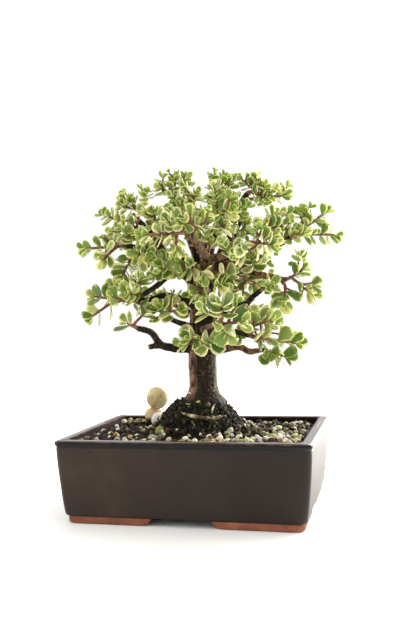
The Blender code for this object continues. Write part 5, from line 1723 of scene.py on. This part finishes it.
# %% Surface roots
# Places along each root, the radius at each place, and the tint
OLD_ROOTS = (
    (
        ((-18.5, -21.3, 15.4), (-12, -26.4, 13.8), (-4.9, -28.8, 12.4), (1.5, -29.0, 11.4),
         (7.8, -27.3, 11.0), (13.5, -23.9, 11.1), (17.6, -19, 11.6)),
        (0.6, 1.2, 1.5, 1.6, 1.5, 1.1, 0.5), 0.42,
    ),
    (
        ((6.0, -22.4, 14.2), (6.6, -21.6, 16.6), (7.6, -19.6, 18.9), (9.1, -17.2, 21.0)),
        (0.5, 0.8, 0.8, 0.4), 0.85,
    ),
    (((15.6, -8.6, 18.4), (17.4, -11.0, 15.2), (19.6, -13.4, 12.4)), (0.6, 1.0, 0.7), 0.5),
    (((1.0, -19.4, 20.0), (3.4, -19.4, 20.6), (5.8, -18.8, 20.2)), (0.7, 2.3, 0.8), 0.42),
)
OLD_ROOT_SIDES = 12
OLD_ROOT_KNOBS = 0.16
OLD_ROOT_PATCHES = 0.55
WHITE_SPECKS = ((-12.0, -19.0, 19.0), (-11.3, -7.8, 29.3), (12.4, -24.4, 11.8), (8.4, -8.6, 30.6))
SPECK_HEIGHTS = (-0.8, 0, 0.8)
SPECK_RADII = (0.3, 0.9, 0.3)
SPECK_SIDES = 8


def tinted_tube(name, rings):
    """One closed tube of rings that carry a tint."""
    return ringed_mesh(name, rings[None], end_points(rings[None]), ("tint",))


def root_mesh():
    """Tubes through the old roots' places, with knobs, and paler and darker along their length."""
    meshes = []
    for points, radii, tint in OLD_ROOTS:
        route = smooth_route(points, radii, LIMB_STEPS_PER_POINT)
        route[:, 3] *= 1 + OLD_ROOT_KNOBS * rough(route[:, :3], 2.2, 2, 91)
        rings = with_values(to_part(tube_rings(route, OLD_ROOT_SIDES)), tint)
        rings[..., 3] += OLD_ROOT_PATCHES * rough(route[:, :3], 2.6, 2, 95)[:, None]
        meshes.append(tinted_tube("root", rings))
    return joined("old_surface_roots", meshes)


def speck_mesh():
    """White bits of perlite caught on the root base."""
    meshes = []
    for place in WHITE_SPECKS:
        points = [np.array(place) + (0, 0, height) for height in SPECK_HEIGHTS]
        route = smooth_route(points, SPECK_RADII, 3)
        meshes.append(tinted_tube("speck", with_values(to_part(tube_rings(route, SPECK_SIDES)), 1.0)))
    return joined("perlite_specks", meshes)


old_root = pebbly("weathered_root_skin", 480.0, 0.8, 0.85,
                  (0.0, "#241e14"), (0.4, "#5b4f38"), (0.75, "#9c8f6c"), (1.0, "#cfc6a6"))
add_piece(root_mesh(), old_root, "bark", "wood")
add_piece(speck_mesh(), perlite, "potting_mix", "soil")

# %% Rootlets
ROOTLET_COUNT = 90
ROOTLET_STEPS = 9
ROOTLET_SIDES = 5
ROOTLET_REACH = (18, 38)
ROOTLET_LENGTH = (5, 13)
ROOTLET_RADIUS = (0.18, 0.42)
ROOTLET_TURN = 2.2
ROOTLET_ARCH = 1.6
ROOTLET_CLEARANCE = 0.5
ROOTLET_TAPER = 0.6
PALEST_ROOTLET = 0.85


def rootlet_mesh():
    """Thin tubes whose heading turns evenly, laid a little above the ground."""
    draw = np.random.default_rng(92)
    meshes = []
    share = np.linspace(0, 1, ROOTLET_STEPS)
    for _ in range(ROOTLET_COUNT):
        angle, heading = draw.uniform(0, 2 * math.pi, 2)
        reach = draw.uniform(*ROOTLET_REACH) * MM
        course = heading + draw.uniform(-ROOTLET_TURN, ROOTLET_TURN) * share
        step = draw.uniform(*ROOTLET_LENGTH) * MM / ROOTLET_STEPS
        x = TREE_PLACE[0] + reach * math.cos(angle) + np.cumsum(np.cos(course)) * step
        y = TREE_PLACE[1] + reach * math.sin(angle) + np.cumsum(np.sin(course)) * step
        arch = draw.uniform(0, ROOTLET_ARCH) * np.sin(math.pi * share)
        z = soil_height(x, y) + (ROOTLET_CLEARANCE + arch) * MM
        radius = draw.uniform(*ROOTLET_RADIUS) * MM * (1 - ROOTLET_TAPER * share)
        route = np.column_stack([np.column_stack([x, y, z]) + POT_PLACE, radius])
        rings = with_values(tube_rings(route, ROOTLET_SIDES), draw.uniform(0, PALEST_ROOTLET))
        meshes.append(tinted_tube("rootlet", rings))
    return joined("trailing_rootlets", meshes)


add_piece(rootlet_mesh(), old_root, "potting_mix", "soil")

# %% Moss
MOSS_BLADES = 1500
MOSS_ROWS = 4
MOSS_SIDES = 3
MOSS_REACH = (17, 36)
MOSS_PATCH = 7 * MM
MOSS_LEAST = 0.12
MOSS_LEAN = 0.45
MOSS_HEIGHT = (0.9, 2.4)
MOSS_RADIUS = 0.22 * MM


def moss_mesh():
    """Blades on the mound: each leans a little and tapers as 1 - along squared."""
    draw = np.random.default_rng(93)
    angle = draw.uniform(0, 2 * math.pi, MOSS_BLADES * 4)
    reach = draw.uniform(*MOSS_REACH, MOSS_BLADES * 4) * MM
    x = TREE_PLACE[0] + reach * np.cos(angle)
    y = TREE_PLACE[1] + reach * np.sin(angle)
    thick = noise(np.column_stack([x, y, 0 * x]), MOSS_PATCH, 94)
    chosen = np.flatnonzero(thick > MOSS_LEAST)[:MOSS_BLADES]
    x, y = x[chosen], y[chosen]
    count = len(chosen)
    root = np.column_stack([x, y, soil_height(x, y) - 0.2 * MM]) + POT_PLACE
    lean = np.column_stack([draw.normal(0, MOSS_LEAN, (count, 2)), np.ones(count)])
    height = draw.uniform(*MOSS_HEIGHT, (count, 1, 1, 1)) * MM
    along = np.linspace(0, 1, MOSS_ROWS)[None, :, None, None]
    rings = root[:, None, None] + unit(lean)[:, None, None] * along * height
    rings = rings + flat_circle(MOSS_SIDES) * MOSS_RADIUS * (1.05 - along ** 2)
    rings = with_values(rings, draw.uniform(0, 1, (count, 1, 1, 1)))
    return ringed_mesh("moss", rings, end_points(rings), ("tint",))


moss = pebbly("olive_moss", 700.0, 0.3, 0.8,
              (0.0, "#1c1f0b"), (0.45, "#3a401a"), (0.8, "#666b2c"), (1.0, "#8d9440"))
moss_piece = moss_mesh()
add_piece(moss_piece, moss, "potting_mix", "soil")
print("moss faces:", len(moss_piece.polygons))

# %% [markdown]
# ## Filling the crown
# The solids hold the main leaves only, but the living crown is nearly closed. Each stem bears
# leaves at joints between the planned ones, and puts out short shoots with leaves of their own.
# A shoot heads outwards and up with a random turn. It and its leaves are tried against all
# that stands already, closer than in the plan, and they stay inside the box of the solids. The
# crown is thinner at its sides and its foot, where the white ground shows between the leaves.

# %% Shoots and more leaves
CLOSE_GAP = 0.12
LEAST_FULLNESS = 0.14
SHOOT_ROOM = 0.3
SHOOT_LENGTHS = (9.0, 17.0)
SHOOT_RADII = (1.0, 0.65)
SHOOT_SHARES = (0.22, 0.42, 0.62, 0.82)
SHOOT_TRIES = 10
PAIRS_ON_LIMB_SHOOT = 3
PAIRS_ON_SHOOT = 2
SHOOT_OUTWARD = 0.6
SHOOT_FORWARD = 0.5
SHOOT_RISE = Vector((0, 0, 0.4))
CROWN_MIDDLE = Vector((0, 0, 130))
CROWN_FOOT = 62
CROWN_SHIFT = 14
# The crown's half width, which grows with height, and how fullness falls to its least value
# towards the sides, the foot and the front
CROWN_HALF_WIDTH = 62
WIDENING = 0.4
WIDENS_FROM = 110
SIDE_START, SIDE_LEAST = 1.45, 0.15
FOOT_RISE, FOOT_LEAST = 70, 0.12
FRONT_START, FRONT_REACH, FRONT_LEAST = 1.6, 60, 0.35
# How far from the trunk leaves may hang below the crown's foot, and how deep
HANGS_FROM = 30
HANGS_BY = 16
BOX_MARGIN = 0.5 * MM
# Limbs that bear shoots of their own, the spray that these are counted with, and shares of the limb
LIMB_SHOOTS = (
    ("top_mid", 21, (0.25, 0.4, 0.55, 0.7)),
    ("front_main", 42, (0.9, 0.97)),
    ("front_right", 12, (0.2, 0.4)),
    ("top_right", 19, (0.3, 0.45)),
    ("top_left", 23, (0.4, 0.6)),
    ("right_main", 11, (0.45, 0.6)),
)


def within_crown(corners):
    """Tell whether points in the tree's millimetres lie in the solids' box and clear of the trunk."""
    corners = np.array(corners)
    places = to_part(corners)
    low, high = np.array(cad_box)
    inside = (places > low + BOX_MARGIN).all() and (places < high - BOX_MARGIN).all()
    foot = CROWN_FOOT - np.clip(np.abs(corners[:, 0]) - HANGS_FROM, 0, HANGS_BY)
    return bool(inside and (corners[:, 2] > foot).all())


def fullness(place):
    """How leafy the crown is at a place: thinner towards its sides, its foot and its very front."""
    width = CROWN_HALF_WIDTH + WIDENING * max(place.z - WIDENS_FROM, 0)
    sides = min(max(SIDE_START - abs(place.x - CROWN_SHIFT) / width, SIDE_LEAST), 1.0)
    foot = min(max((place.z - CROWN_FOOT) / FOOT_RISE, FOOT_LEAST), 1.0)
    front = min(max(FRONT_START + place.y / FRONT_REACH, FRONT_LEAST), 1.0)
    return sides * foot * front


def leaves_on(spray, stem, radii, pairs, draw):
    """Try the leaf pairs of one stem, and keep those that have room."""
    for frame_of_leaf in leaf_frames(stem, radii, pairs, draw):
        if draw.random() > LEAST_FULLNESS + fullness(frame_of_leaf[0]):
            continue
        for leaf in leaf_tries(frame_of_leaf, draw):
            corners = leaf_corners(cage, leaf, CLOSE_GAP)
            if not within_crown(corners):
                continue
            if not obstacles.blocked(corners, cage_faces, free_of=(spray["name"],)):
                obstacles.add(spray["name"] + "_leaf", leaf_corners(cage, leaf), cage_faces)
                spray["leaves"].append(leaf)
                break


def shoot_on(spray, stem, radii, share, draw, limb="none"):
    """The first of some random shoots at one share of a stem or limb that has room, or None."""
    start, along, radius = on_route(stem, radii, share * run_lengths(stem)[-1])
    length = draw.uniform(*SHOOT_LENGTHS) * leaf_length(start.z) / LEAF_LENGTHS[0] + radius
    outward = (start - CROWN_MIDDLE).normalized() * SHOOT_OUTWARD
    for _ in range(SHOOT_TRIES):
        aside = Vector([draw.gauss(0, 1) for _ in range(3)]).normalized()
        leave = (aside + along * SHOOT_FORWARD + outward + SHOOT_RISE).normalized()
        route = [start, start + leave * length / 2, start + leave * length]
        shoot_radii = tapered(SHOOT_RADII, 3)
        lists = mesh_lists(tube_mesh("trial", route, shoot_radii, TWIG_SIDES, SHOOT_ROOM))
        if within_crown(lists[0]) and not obstacles.blocked(*lists, free_of=(spray["name"], limb)):
            obstacles.add(spray["name"], *lists)
            return route, shoot_radii
    return None


cage, cage_faces = leaf_cage()
filling_draw = random.Random(81)
for limb, number, shares in LIMB_SHOOTS:
    spray = sprays[number - 1]
    route, radii = limb_shape(limb)
    for share in shares:
        shoot = shoot_on(spray, route, radii, share, filling_draw, limb)
        if shoot is not None:
            spray["stems"].append((*shoot, PAIRS_ON_LIMB_SHOOT))
for spray in sprays:
    for stem, radii, pairs in list(spray["stems"]):
        for share in SHOOT_SHARES:
            place = on_route(stem, radii, share * run_lengths(stem)[-1])[0]
            if filling_draw.random() > fullness(place):
                continue
            shoot = shoot_on(spray, stem, radii, share, filling_draw)
            if shoot is not None:
                spray["stems"].append((*shoot, PAIRS_ON_SHOOT))
for spray in sprays:
    for stem, radii, pairs in spray["stems"]:
        leaves_on(spray, stem, radii, 2 * pairs, filling_draw)
print("stems:", sum(len(spray["stems"]) for spray in sprays),
      " leaves:", sum(len(spray["leaves"]) for spray in sprays))

# %% [markdown]
# ## Young stems
# The year's growth is smooth and crimson to brown above, olive below and greener towards the
# tip, with a faint ring at every pair of leaves. Each is a tube along the planned route. The
# rings come from the radius, which swells by a tenth every few millimetres.

# %% Rings of a stem
STEM_SIDES = 8
STEM_RINGS_PER_MM = 0.8
RING_SPACING = 4.6
STEM_ROOT_LAP = 1.4
STEM_ROOT_FLARE = 1.12
STEM_TIP_SHRINK = 0.7
RING_SWELL = 0.11


def stem_rings(route, radii, tint):
    """Rings of one stem with its youth, from 0 at the root to 1 at the tip, and its tint."""
    start = np.array(route[0]) - unit(np.array(route[1] - route[0])) * STEM_ROOT_LAP
    reach = (route[-1] - route[0]).length
    steps = max(3, int(reach * STEM_RINGS_PER_MM / (len(route) - 1)))
    curve = smooth_route([start, *route[1:]], [radii[0] * STEM_ROOT_FLARE, *radii[1:]], steps)
    length = path_lengths(curve[:, :3])
    swell = 1 + RING_SWELL * np.cos(math.pi * length / RING_SPACING) ** 8
    swell[-1] *= STEM_TIP_SHRINK
    curve[:, 3] *= swell
    youth = (length / length[-1])[:, None, None]
    return with_values(to_part(tube_rings(curve, STEM_SIDES)), youth, tint)[None]


def stem_skin():
    """Smooth epidermis of a succulent stem: crimson brown above, olive below, satin."""
    material, tree, shader = new_material("young_crimson_stem")
    place = add(tree, "TexCoord").outputs["Object"]
    youth = add(tree, "Attribute", {"attribute_name": "youth"}).outputs["Fac"]
    hue = add(tree, "Attribute", {"attribute_name": "hue"}).outputs["Fac"]
    normal = add(tree, "NewGeometry").outputs["Normal"]
    upright = add(tree, "SeparateXYZ", sockets={"Vector": normal}).outputs["Z"]
    mottle = add(tree, "TexNoise", sockets={"Vector": place, "Scale": 330.0, "Detail": 4.0})
    tones = []
    for stops in (
        [(0.3, "#4c211c"), (0.5, "#733830"), (0.7, "#965347")],
        [(0.3, "#484120"), (0.5, "#6d6832"), (0.7, "#8f8c4a")],
    ):
        tones.append(add(tree, "ValToRGB", {"stops": stops}, {"Fac": mottle}))
    red, olive = tones
    below = {"Value": upright, "From Min": -0.1, "From Max": -0.8, "To Min": 0.0, "To Max": 0.85}
    share = add(tree, "MapRange", SMOOTH, below)
    for value, low, high, most in ((youth, 0.55, 1.1, 0.6), (hue, 0.62, 0.95, 0.8)):
        rising = {"Value": value, "From Min": low, "From Max": high, "To Max": most}
        green = add(tree, "MapRange", sockets=rising)
        share = add(tree, "Math", {"operation": "MAXIMUM"}, {0: share, 1: green})
    colour = add(tree, "Mix", OF_COLOURS, {MIX_FACTOR: share, MIX_A: red, MIX_B: olive})
    bump = add(tree, "Bump", sockets={"Height": mottle, "Strength": 0.3, "Distance": 0.2 * MM})
    wire(tree, shader, {"Base Color": colour, "Roughness": 0.5, "Normal": bump})
    return material


# %% Stems of each spray
stem_material = stem_skin()
stem_draw = random.Random(61)
for spray in sprays:
    tint = stem_draw.random()
    meshes = []
    for route, radii, _ in spray["stems"]:
        rings = stem_rings(route, radii, tint)
        meshes.append(ringed_mesh("stem", rings, end_points(rings), ("youth", "hue")))
    add_piece(joined(spray["name"] + "_stems", meshes), stem_material, "bark", spray["name"])

# %% [markdown]
# ## Leaves
# A leaf is a small fleshy paddle, wedge-shaped at its stalk, widest two thirds of the way out
# and round at the tip, about two millimetres thick, with a soft edge. It could be a bent
# plane, but the thick edge is what catches the light. So it is a stack of flattened rings
# from stalk to tip. There are hundreds, so each has a few dozen faces. Two attributes say
# where on the leaf a point lies, and two more differ from leaf to leaf.

# %% Leaf shapes
LEAF_ROWS = 6
LEAF_COLUMNS = 8
LEAF_FULLNESS = 0.95
LEAF_REACH = 0.98
OUTLINE_PEAK = 0.632
# Half a leaf's thickness: a least value and a share of its length, less above and more below
LEAF_DEPTH = (0.35, 0.045)
UPPER_SHARE, LOWER_SHARE = 0.8, 1.2
LEAN_DRAW = (-0.10, 0.10)
CUP_DRAW = (-0.10, 0.22)
FULLNESS_DRAW = (0.90, 1.10)
GROWN_LENGTH = 13.0
LEAF_VALUES = ("across", "along", "tint", "young")
TIP_PAIR_LENGTH = (4.0, 6.0)
TIP_SPREAD = math.radians(24)
TIP_SEAT = 0.6
TIP_BEND = (0.0, 0.3)
SPROUTS = ((-4.6, -18.2, 22.3), (-12.1, -15.4, 20.3))
SPROUT_LEAVES = 5
SPROUT_LENGTH = (2.2, 3.4)
SPROUT_RISE = 0.7
SPROUT_BEND = 0.1


def leaf_rings(leaves, draw):
    """Rings and ends of many leaves, given as (base, direction, up, length, bend).

    Along runs from 0 at the stalk to 1 at the tip as (1 - cos t) / 2. Half the width is
    W along^0.7 (1 - along^3)^0.5 / 0.632 and half the thickness T along^0.4 (1 - along^5)^0.5.
    A ring is (cos v, sin v) drawn out by the two. The blade lifts by bend x length x along x
    (along - 0.55), and its edges lift by a cup x width x cos^2 v.
    """
    values = [np.array([leaf[k] for leaf in leaves], float) for k in range(5)]
    base, direction, up, length, bend = (value.reshape(len(leaves), 1, 1, -1) for value in values)
    side = np.cross(direction, up)
    along = (0.5 - 0.5 * np.cos(np.linspace(0, math.pi, LEAF_ROWS + 2)))[None, :, None, None]
    turn = angles_round(LEAF_COLUMNS)[None, None, :, None]
    lean = draw.uniform(*LEAN_DRAW, length.shape)
    cup = draw.uniform(*CUP_DRAW, length.shape)
    full = draw.uniform(*FULLNESS_DRAW, length.shape)
    half = length * LEAF_WIDTH_SHARE / 2 * LEAF_FULLNESS * full
    width = half * along ** 0.7 * np.sqrt(np.clip(1 - along ** 3, 0, 1)) / OUTLINE_PEAK
    depth = LEAF_DEPTH[0] + LEAF_DEPTH[1] * length
    thick = depth * along ** 0.4 * np.sqrt(np.clip(1 - along ** 5, 0, 1))
    across = np.cos(turn)
    rise = np.sin(turn) * thick * np.where(np.sin(turn) > 0, UPPER_SHARE, LOWER_SHARE) - 0.4 * thick
    rise = rise + bend * length * along * (along - LEAF_THICKEST) + cup * width * across ** 2
    aside = across * width + lean * length * along ** 2
    rings = to_part(base + direction * along * length * LEAF_REACH + side * aside + up * rise)
    tint = draw.uniform(0, 1, length.shape)
    young = np.clip(1.15 - length / GROWN_LENGTH, 0, 1)
    rings = with_values(rings, across, along, tint, young)
    return rings[:, 1:-1], end_points(rings)


def tip_pair(route, draw):
    """Two tiny leaves at a stem's tip, nearly upright against one another."""
    along = unit(np.array(route[-1] - route[-2]))
    side = unit(np.cross(along, draw.normal(size=3)))
    tip = np.array(route[-1]) - along * TIP_SEAT
    pair = []
    for sign in (-1, 1):
        direction = along * math.cos(TIP_SPREAD) + sign * side * math.sin(TIP_SPREAD)
        up = unit(along - direction * (along @ direction))
        pair.append((tip, direction, up, draw.uniform(*TIP_PAIR_LENGTH), draw.uniform(*TIP_BEND)))
    return pair


def below_top(leaf):
    """Tell whether a leaf's tip stays under the top of the solids' box."""
    base, direction, _, length, _ = leaf
    return to_part(base + direction * length)[2] < cad_box[1][2] - BOX_MARGIN


def sprout_leaves(draw):
    """A whorl of tiny leaves at each weed seedling's place."""
    leaves = []
    for place in SPROUTS:
        for angle in angles_round(SPROUT_LEAVES):
            direction = unit(np.array([math.cos(angle), math.sin(angle), SPROUT_RISE]))
            up = unit(np.array([0, 0, 1]) - direction * direction[2])
            leaves.append((np.array(place), direction, up, draw.uniform(*SPROUT_LENGTH), SPROUT_BEND))
    return leaves


# %% Variegated leaf
def waxy_leaf():
    """Waxy succulent leaf: a grey-green middle that breaks in streaks into a cream margin."""
    material, tree, shader = new_material("waxy_variegated_leaf")
    place = add(tree, "TexCoord").outputs["Object"]
    value = {}
    for name in LEAF_VALUES:
        value[name] = add(tree, "Attribute", {"attribute_name": name}).outputs["Fac"]
    leaf_place = {"X": value["across"], "Y": value["along"], "Z": value["tint"]}
    on_leaf = add(tree, "CombineXYZ", sockets=leaf_place)
    streaks = add(tree, "VectorMath", {"operation": "MULTIPLY"}, {0: on_leaf, 1: (2.6, 1.1, 57.0)})
    streaky = {"Vector": streaks, "Scale": 1.5, "Detail": 4.0, "Roughness": 0.6}
    value["breakup"] = add(tree, "TexNoise", sockets=streaky)
    value["region"] = add(tree, "TexNoise", sockets={"Vector": place, "Scale": 26.0, "Detail": 1.0})
    near_tip = {"Value": value["along"], "From Min": 0.72, "From Max": 1.0}
    value["far"] = add(tree, "MapRange", sockets=near_tip)
    # Step by step: how near the leaf's outline a point lies, and where the cream margin starts
    for name, operation, first, second in (
        ("side", "ABSOLUTE", "across", 0.0),
        ("edge", "MAXIMUM", "side", "far"),
        ("ragged", "SUBTRACT", "breakup", 0.5),
        ("ragged", "MULTIPLY", "ragged", 1.5),
        ("edge", "ADD", "edge", "ragged"),
        ("creamy", "POWER", "tint", 4.0),
        ("creamy", "MULTIPLY", "creamy", 0.6),
        ("patchy", "MULTIPLY", "region", 0.6),
        ("reach", "ADD", "creamy", "patchy"),
        ("start", "SUBTRACT", 1.06, "reach"),
        ("past", "SUBTRACT", "edge", "start"),
        ("fresh", "MULTIPLY", "young", 0.85),
    ):
        sockets = {0: value.get(first, first), 1: value.get(second, second)}
        value[name] = add(tree, "Math", {"operation": operation}, sockets)
    margin = add(tree, "MapRange", SMOOTH, {"Value": value["past"], "From Min": -0.10, "From Max": 0.14})
    stops = [(0.0, "#3a5a1e"), (0.35, "#587a2e"), (0.65, "#80924d"), (1.0, "#a3a876")]
    green = add(tree, "ValToRGB", {"stops": stops}, {"Fac": value["tint"]})
    stops = [(0.25, "#bdb65a"), (0.5, "#d6cf8a"), (0.75, "#e6e0b4")]
    cream = add(tree, "ValToRGB", {"stops": stops}, {"Fac": value["region"]})
    grown = add(tree, "Mix", OF_COLOURS, {MIX_FACTOR: margin, MIX_A: green, MIX_B: cream})
    fresh = add(tree, "Mix", OF_COLOURS, {MIX_FACTOR: margin, MIX_A: "#86a63c", MIX_B: "#c9cf6c"})
    colour = add(tree, "Mix", OF_COLOURS, {MIX_FACTOR: value["fresh"], MIX_A: grown, MIX_B: fresh})
    fine = add(tree, "TexNoise", sockets={"Vector": place, "Scale": 1400.0, "Detail": 2.0})
    bump = add(tree, "Bump", sockets={"Height": fine, "Strength": 0.15, "Distance": 0.1 * MM})
    wire(tree, shader, {"Base Color": colour, "Roughness": 0.36, "Normal": bump, "Specular IOR Level": 0.35,
                        "Subsurface Weight": 0.18, "Subsurface Radius": (0.9, 1.0, 0.25),
                        "Subsurface Scale": 1.5 * MM})
    return material


# %% Leaves of each spray, and weeds
leaf_material = waxy_leaf()
leaf_draw = np.random.default_rng(71)
leaf_count = 0
for spray in sprays:
    leaves = list(spray["leaves"])
    for route, _, _ in spray["stems"]:
        leaves += [leaf for leaf in tip_pair(route, leaf_draw) if below_top(leaf)]
    rings, ends = leaf_rings(leaves, leaf_draw)
    mesh = ringed_mesh(spray["name"] + "_leaves", rings, ends, LEAF_VALUES)
    add_piece(mesh, leaf_material, "succulent_leaf", spray["name"])
    leaf_count += len(leaves)
sprout_rings, sprout_ends = leaf_rings(sprout_leaves(leaf_draw), leaf_draw)
sprouts = ringed_mesh("weed_sprouts", sprout_rings, sprout_ends, LEAF_VALUES)
add_piece(sprouts, leaf_material, "succulent_leaf", "soil")
print("leaves:", leaf_count, "with", (LEAF_ROWS + 1) * LEAF_COLUMNS, "faces each")

# %% [markdown]
# ## The drain screens
# Under the mix a square of black polythene mesh lies over each drain hole. It shows only
# through the hole from below, so its plain solid is right as it is, and only its finish
# changes.

# %% Moulded polythene
def black_mesh():
    """Injection-moulded polythene: black, slightly glossy, with the grain of the mould."""
    material, tree, shader = new_material("moulded_black_polythene")
    place = add(tree, "TexCoord").outputs["Object"]
    grain = add(tree, "TexNoise", sockets={"Vector": place, "Scale": 1500.0, "Detail": 2.0})
    tone = add(tree, "ValToRGB", {"stops": [(0.3, "#15171a"), (0.7, "#26292c")]}, {"Fac": grain})
    bump = add(tree, "Bump", sockets={"Height": grain, "Strength": 0.2, "Distance": 0.1 * MM})
    wire(tree, shader, {"Base Color": tone, "Roughness": 0.5, "Normal": bump})
    return material


polythene = black_mesh()
for name in ("drain_mesh_left", "drain_mesh_right"):
    screen = frame["nodes"][name]
    screen.data.materials.clear()
    screen.data.materials.append(polythene)

# %% [markdown]
# ## Floor and light
# The picture is high-key: a white ground that has no edge, a strong soft light from the right
# and behind, which burns out the pot's right side, and an even fill from all round. A white
# world gives the fill. One panel behind on the right, out of the picture, lights the leaves from
# behind and the floor that the pot's right side mirrors. One stands at the right, and weak
# ones stand at the left and hang above.

# %% Pale floor
FLOOR_HALF_SIZE = 4.0
FLOOR_CELLS = 8
FLOOR_DROP = 0.05 * MM


def pale_floor():
    """White paper sweep: matte, with the faintest fibre."""
    material, tree, shader = new_material("white_paper_sweep")
    place = add(tree, "TexCoord").outputs["Object"]
    fibre = add(tree, "TexNoise", sockets={"Vector": place, "Scale": 180.0, "Detail": 3.0})
    tone = add(tree, "ValToRGB", {"stops": [(0.3, "#fafaf8"), (0.7, "#fdfdfc")]}, {"Fac": fibre})
    wire(tree, shader, {"Base Color": tone, "Roughness": 0.9})
    return material


side = np.linspace(-FLOOR_HALF_SIZE, FLOOR_HALF_SIZE, FLOOR_CELLS + 1)
grid_x, grid_y = np.meshgrid(side, side, indexing="ij")
floor_points = np.stack([grid_x, grid_y, 0 * grid_x - FLOOR_DROP], -1).reshape(-1, 3)
i, j = np.meshgrid(np.arange(FLOOR_CELLS), np.arange(FLOOR_CELLS), indexing="ij")
corner = i * (FLOOR_CELLS + 1) + j
beyond = corner + FLOOR_CELLS + 1
floor_quads = np.stack([corner, beyond, beyond + 1, corner + 1], -1).reshape(-1, 4)
floor_mesh = bpy.data.meshes.new("floor")
floor_mesh.from_pydata(floor_points.tolist(), [], floor_quads.tolist())
floor_mesh.materials.append(pale_floor())
floor = new_object("floor", floor_mesh)
floor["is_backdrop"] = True


# %% Lights
def panel(name, place, target, size, power, colour):
    """A square soft light that faces a point."""
    light = bpy.data.lights.new(name, "AREA")
    light.shape = "SQUARE"
    light.size = size
    light.energy = power
    light.color = linear(colour)[:3]
    aim = (Vector(target) - Vector(place)).to_track_quat("-Z", "Y").to_matrix().to_4x4()
    new_object(name, light).matrix_world = Matrix.Translation(place) @ aim


panel("back_panel", (0.38, 0.72, 0.36), (0.08, 0.13, 0.0), 0.55, 26.0, "#fffaf2")
panel("side_panel", (1.0, 0.35, 0.5), (0, 0, 0.12), 0.6, 7.0, "#fffaf2")
panel("left_panel", (-0.9, -0.5, 0.45), (0, 0, 0.12), 0.6, 3.5, "#fff1de")
panel("top_panel", (-0.25, 0.1, 1.2), (0, 0, 0.12), 0.8, 2.5, "#ffffff")
world = bpy.data.worlds.new("white_studio")
world.use_nodes = True
wire(world.node_tree, world.node_tree.nodes["Background"], {"Color": "#ffffff", "Strength": 1.05})
bpy.context.scene.world = world
bpy.context.scene.view_settings.view_transform = "Standard"

# %% [markdown]
# ## Sizes
# The dressed tree has to stay in the box of its solids. The last lines print each side of its
# box as a share of the solids' box.

# %% Size against the solids
look_box = [list(corner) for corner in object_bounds()]
grown = (np.array(look_box[1]) - look_box[0]) / (np.array(cad_box[1]) - cad_box[0])
print("box sides against the solids':", grown.round(4))
